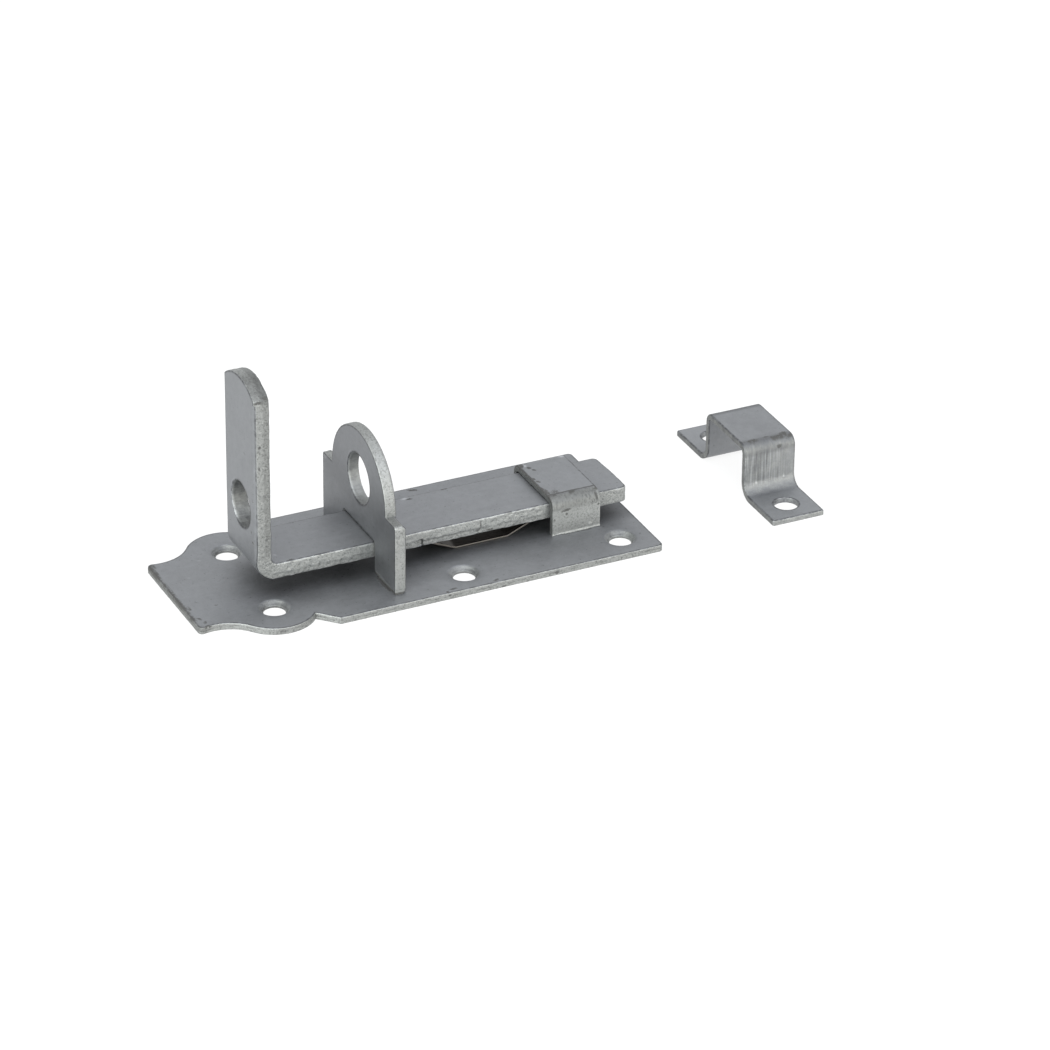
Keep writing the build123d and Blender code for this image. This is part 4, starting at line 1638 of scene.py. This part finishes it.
@dataclass
class Keep:
    """The hat-shaped strap that receives the bolt's tip."""

    zinc: bpy.types.Material
    thickness: float = 1.2
    top_fold: float = 1.0
    foot_bend: float = 2.5
    inner_half_width: float = 7.7
    hole_radius: float = 2.6
    hole_y: float = 16.5
    edge_roll: float = 0.32
    corner_radius: float = 0.4
    step: float = 0.25
    pitch: float = 0.22
    rim_shade: float = 0.34
    bend_painted_shade: float = 0.36
    fold_painted_shade: float = 0.46
    leg_scrape: float = 0.58

    def build(self) -> None:
        """Builds the strap flat with its two holes, bends it four times and hands it over."""
        low, high = extent("keep")
        foot_radius = self.foot_bend + self.thickness
        foot = high[1] - self.inner_half_width - foot_radius
        leg = high[2] - low[2] - self.thickness - foot_radius - self.top_fold
        top = 2.0 * (self.inner_half_width - self.top_fold)
        up, over = QUARTER * foot_radius, QUARTER * self.top_fold
        line = BendLine(
            start=(low[1], low[2]),
            heading=0.0,
            runs=(
                (foot, 0.0),
                (up, 90.0),
                (leg, 0.0),
                (over, -90.0),
                (top, 0.0),
                (over, -90.0),
                (leg, 0.0),
                (up, 90.0),
                (foot, 0.0),
            ),
        )
        half, length = (high[0] - low[0]) / 2.0, line.length()
        outer = rounded_box((0.0, -half), (length, half), self.corner_radius, self.step)
        hole_at = high[1] - self.hole_y
        bore = edge_section(self.thickness, top_roll=0.15, foot_roll=0.08, rows=4)
        places = (hole_at, length - hole_at)
        holes = [(circle((at, 0.0), self.hole_radius, self.step), bore) for at in places]
        section = edge_section(self.thickness, self.edge_roll, foot_roll=0.1)
        surface = Blank(outer, section, self.pitch, holes).surface()
        marks = 0.012 * Mottle(5.0, seed=11, octaves=2).at(surface.points[:, :2])
        surface.press(top=marks, under=marks)
        along, across, height = surface.points.T
        from_end = np.minimum(along, length - along)
        outside = slope(height, 0.5, 1.0) * (1.0 - surface.wall)
        self.shade_rims(surface, from_end, hole_at)
        self.drag(surface, from_end - foot - up, leg, outside)
        surface.shade(0.12, outside * slope(along, length - foot - up + 3.0, length - 4.0))
        self.soil_fold(surface, from_end - foot - up - leg, outside * (along < length / 2.0))
        surface.roughen(cell=0.7, depth=0.03, seed=61)
        surface.mark(self.marks())
        along, across, height = surface.points.T
        bent = line.at(along, height)
        middle = (high[0] + low[0]) / 2.0
        piece = mesh_object("keep_bent_strap", surface, np.column_stack([middle - across, bent]))
        hand_over(piece, "keep", BASE, self.zinc)

    def shade_rims(self, surface: Surface, from_end: np.ndarray, hole_at: float) -> None:
        """Darkens the strap's long rims and paints light on the holes' walls.

        Args:
            surface: the blank.
            from_end: distance of each point from the nearer end.
            hole_at: distance of a hole's middle from that end.
        """
        at_ends = slope(from_end, 0.6, 0.2)
        from_hole = np.hypot(from_end - hole_at, surface.points[:, 1])
        in_hole = slope(from_hole, self.hole_radius + 0.5, self.hole_radius + 0.2)
        surface.shade(-self.rim_shade, surface.wall * (1.0 - at_ends) * (1.0 - in_hole))
        # Painted light on the walls of the holes.
        surface.shade(0.5, surface.wall * in_hole)

    def drag(self, surface: Surface, from_leg: np.ndarray, leg: float, outside: np.ndarray) -> None:
        """Draws the die's scratches down both legs, deepest at the rim that faces the bolt.

        The scraped finish reaches from the foot bends to the folds, and both carry painted shade.

        Args:
            surface: the blank.
            from_leg: distance of each point from the nearer leg's start, up the leg.
            leg: length of a leg.
            outside: 1 on the outer face and 0 elsewhere.
        """
        on_leg = slope(from_leg, -2.5, 0.5) * slope(from_leg, leg + 0.6, leg - 0.8)
        surface.score = on_leg * slope(surface.points[:, 1], -6.0, 1.5) * outside
        # Painted shade over the foot bend's highlight, and over the top fold's.
        surface.shade(-self.bend_painted_shade, outside * bump(from_leg + 3.3, 3.3))
        surface.shade(-self.fold_painted_shade, outside * bump(from_leg - leg - 0.8, 1.6))
        bent_part = slope(from_leg, -6.0, -4.0) * slope(from_leg, leg + 1.8, leg + 0.8)
        surface.wall = 0.7 * surface.wall
        surface.scrape(self.leg_scrape * outside * bent_part)

    @staticmethod
    def soil_fold(surface: Surface, past_leg: np.ndarray, outside: np.ndarray) -> None:
        """Rubs streaky dirt into the near fold.

        Args:
            surface: the blank.
            past_leg: distance of each point past the nearer leg's top.
            outside: 1 on the near half's outer face and 0 elsewhere.
        """
        along, across, _ = surface.points.T
        streaks = Mottle(0.6, seed=65, octaves=3).at(np.column_stack([along, 0.3 * across]))
        rubbed = np.clip(0.6 + 0.9 * streaks, 0.0, 1.0)
        surface.soiled_and_shaded(0.85 * bump(past_leg - 1.4, 0.9) * outside * rubbed)

    def marks(self) -> tuple[Mark, ...]:
        """Two dimples above the foot bend with painted light and shade, fold dirt, duller patches, painted
        shade on the bend.
        """
        top = Face.TOP
        return (
            Mark(top, (24.4, 3.2), (0.9, 2.6), 6.0, soil_and_shadow=0.7),
            Mark(top, (24.8, -4.2), (1.0, 2.0), soil_and_shadow=0.75),
            Mark(top, (23.2, -2.2), (0.4, 1.3), soil_and_shadow=0.8),
            Mark(top, (29.0, -1.0), (4.5, 3.0), 30.0, tone=-0.06),
            Mark(top, (33.5, 3.5), (3.0, 1.4), 10.0, tone=-0.07),
            # The dimples carry painted highlights, and the dark bit beside one a painted shadow.
            Mark(top, (16.1, 3.2), (0.9, 0.35), tone=0.35, dent=0.08),
            Mark(top, (16.3, -3.4), (0.9, 0.4), tone=0.35, dent=0.10),
            Mark(top, (15.3, -3.4), (0.5, 0.45), tone=-0.2, dent=0.06),
            # Painted shade on the foot bend.
            Mark(top, (10.0, 1.5), (4.0, 5.5), tone=-0.14),
            Mark(top, (25.0, 1.0), (1.6, 5.5), tone=-0.06),
        )


# The studio

@dataclass(frozen=True)
class Lamp:
    """A soft square area lamp that looks at the object's middle."""

    name: str
    azimuth: float
    elevation: float
    distance: float
    size: float
    watts: float
    colour: Colour = (1.0, 1.0, 1.0)

    def hang(self, target: Vector) -> None:
        """Puts the lamp up.

        Args:
            target: the point that it faces. Azimuth 0 is on the -Y side and grows towards +X.
        """
        light = bpy.data.lights.new(self.name, "AREA")
        light.shape = "SQUARE"
        light.size = self.size
        light.energy = self.watts
        light.color = self.colour
        lamp = bpy.data.objects.new(self.name, light)
        bpy.context.scene.collection.objects.link(lamp)
        turn, rise = math.radians(self.azimuth), math.radians(self.elevation)
        out = Vector((math.sin(turn) * math.cos(rise), -math.cos(turn) * math.cos(rise), math.sin(rise)))
        lamp.location = target + out * self.distance
        lamp.rotation_euler = out.to_track_quat("Z", "Y").to_euler()


@dataclass(frozen=True)
class Studio:
    """Pale floor, plain soft light and the photograph's camera."""

    camera_place: tuple[float, float, float] = (-384.6, -856.6, 526.7)
    camera_azimuth: float = 25.764
    camera_elevation: float = 28.981
    camera_roll: float = 0.586
    lens: float = 179.36
    sensor: float = 36.0
    near_limit: float = 0.01
    far_limit: float = 20.0
    floor_reach: float = 3.0
    floor_tone: float = 0.92
    floor_lift: float = 0.85
    floor_drop: float = 0.02
    world_level: float = 1.0
    world_colour: Colour = (0.985, 0.995, 1.0)
    lamps: tuple[Lamp, ...] = (
        Lamp("front_low", 25.0, 10.0, 1.3, 0.9, 9.0, (1.0, 0.985, 0.89)),
        Lamp("left", -60.0, 20.0, 1.3, 0.9, 22.5, (0.96, 1.0, 0.96)),
        Lamp("front_high", 10.0, 60.0, 1.3, 1.4, 13.0, (0.95, 0.985, 1.07)),
    )

    def build(self) -> None:
        """Sets up camera, floor, world and lamps."""
        self.camera()
        self.floor()
        self.world()
        target = sum(cad_box, Vector()) / 2.0
        for lamp in self.lamps:
            lamp.hang(target)
        bpy.context.scene.view_settings.view_transform = "Standard"

    def camera(self) -> None:
        """The photograph's camera: azimuth 0 looks along +Y, and elevation is how far it looks down."""
        data = bpy.data.cameras.new("photo_camera")
        data.sensor_width = self.sensor
        data.lens = self.lens
        data.clip_start, data.clip_end = self.near_limit, self.far_limit
        camera = bpy.data.objects.new("photo_camera", data)
        bpy.context.scene.collection.objects.link(camera)
        turn, tilt, roll = (
            math.radians(angle) for angle in (self.camera_azimuth, self.camera_elevation, self.camera_roll)
        )
        ahead = Vector((math.sin(turn) * math.cos(tilt), math.cos(turn) * math.cos(tilt), -math.sin(tilt)))
        level = Vector((math.cos(turn), -math.sin(turn), 0.0))
        right = Matrix.Rotation(-roll, 3, ahead) @ level
        up = right.cross(ahead)
        placed = Matrix((right, up, -ahead)).transposed().to_4x4()
        placed.translation = Vector(self.camera_place) * MM
        camera.matrix_world = placed
        bpy.context.scene.camera = camera

    def floor(self) -> None:
        """A wide pale floor, partly glowing towards the camera and reflections, that keeps the shadow."""
        reach = self.floor_reach
        mesh = bpy.data.meshes.new("floor")
        corners = [(-reach, -reach), (reach, -reach), (reach, reach), (-reach, reach)]
        mesh.from_pydata([(x, y, -self.floor_drop * MM) for x, y in corners], [], [(0, 1, 2, 3)])
        floor = bpy.data.objects.new("floor", mesh)
        bpy.context.scene.collection.objects.link(floor)
        recipe = Recipe("floor_card")
        seen = self.seen(recipe)
        card = recipe.node("ShaderNodeBsdfDiffuse", {}, {"Color": (self.floor_tone,) * 3})
        glow = recipe.node("ShaderNodeEmission", {}, {"Color": (1.0, 1.0, 1.0), "Strength": 1.0})
        mixed = recipe.node("ShaderNodeMixShader", {}, {0: seen * self.floor_lift, 1: card, 2: glow})
        floor.data.materials.append(recipe.finish(mixed))

    @staticmethod
    def seen(recipe: Recipe) -> Socket:
        """1 for rays from the camera, from a reflection or through glass, and 0 for the others."""
        camera, glossy, through = (
            recipe.node("ShaderNodeLightPath", {}, {}, name)
            for name in ("Is Camera Ray", "Is Glossy Ray", "Is Transmission Ray")
        )
        return camera.math("MAXIMUM", glossy).math("MAXIMUM", through)

    def world(self) -> None:
        """Even white surroundings at a plain level."""
        world = bpy.data.worlds.new("surroundings")
        bpy.context.scene.world = world
        world.use_nodes = True
        tree = world.node_tree
        tree.nodes.clear()
        back = tree.nodes.new("ShaderNodeBackground")
        back.inputs["Color"].default_value = (*self.world_colour, 1.0)
        back.inputs["Strength"].default_value = self.world_level
        end = tree.nodes.new("ShaderNodeOutputWorld")
        tree.links.new(back.outputs["Background"], end.inputs["Surface"])


def main() -> None:
    """Builds every piece and the studio."""
    logging.basicConfig(level=logging.INFO, format="%(message)s")
    zinc = Zinc("dull_zinc_plate").make()
    steel = SpringSteel("tempered_spring_steel").make()
    LatchPlate(zinc, steel).build()
    SlidingBolt(zinc).build()
    Keep(zinc).build()
    Studio().build()


if __name__ == "__main__":
    main()
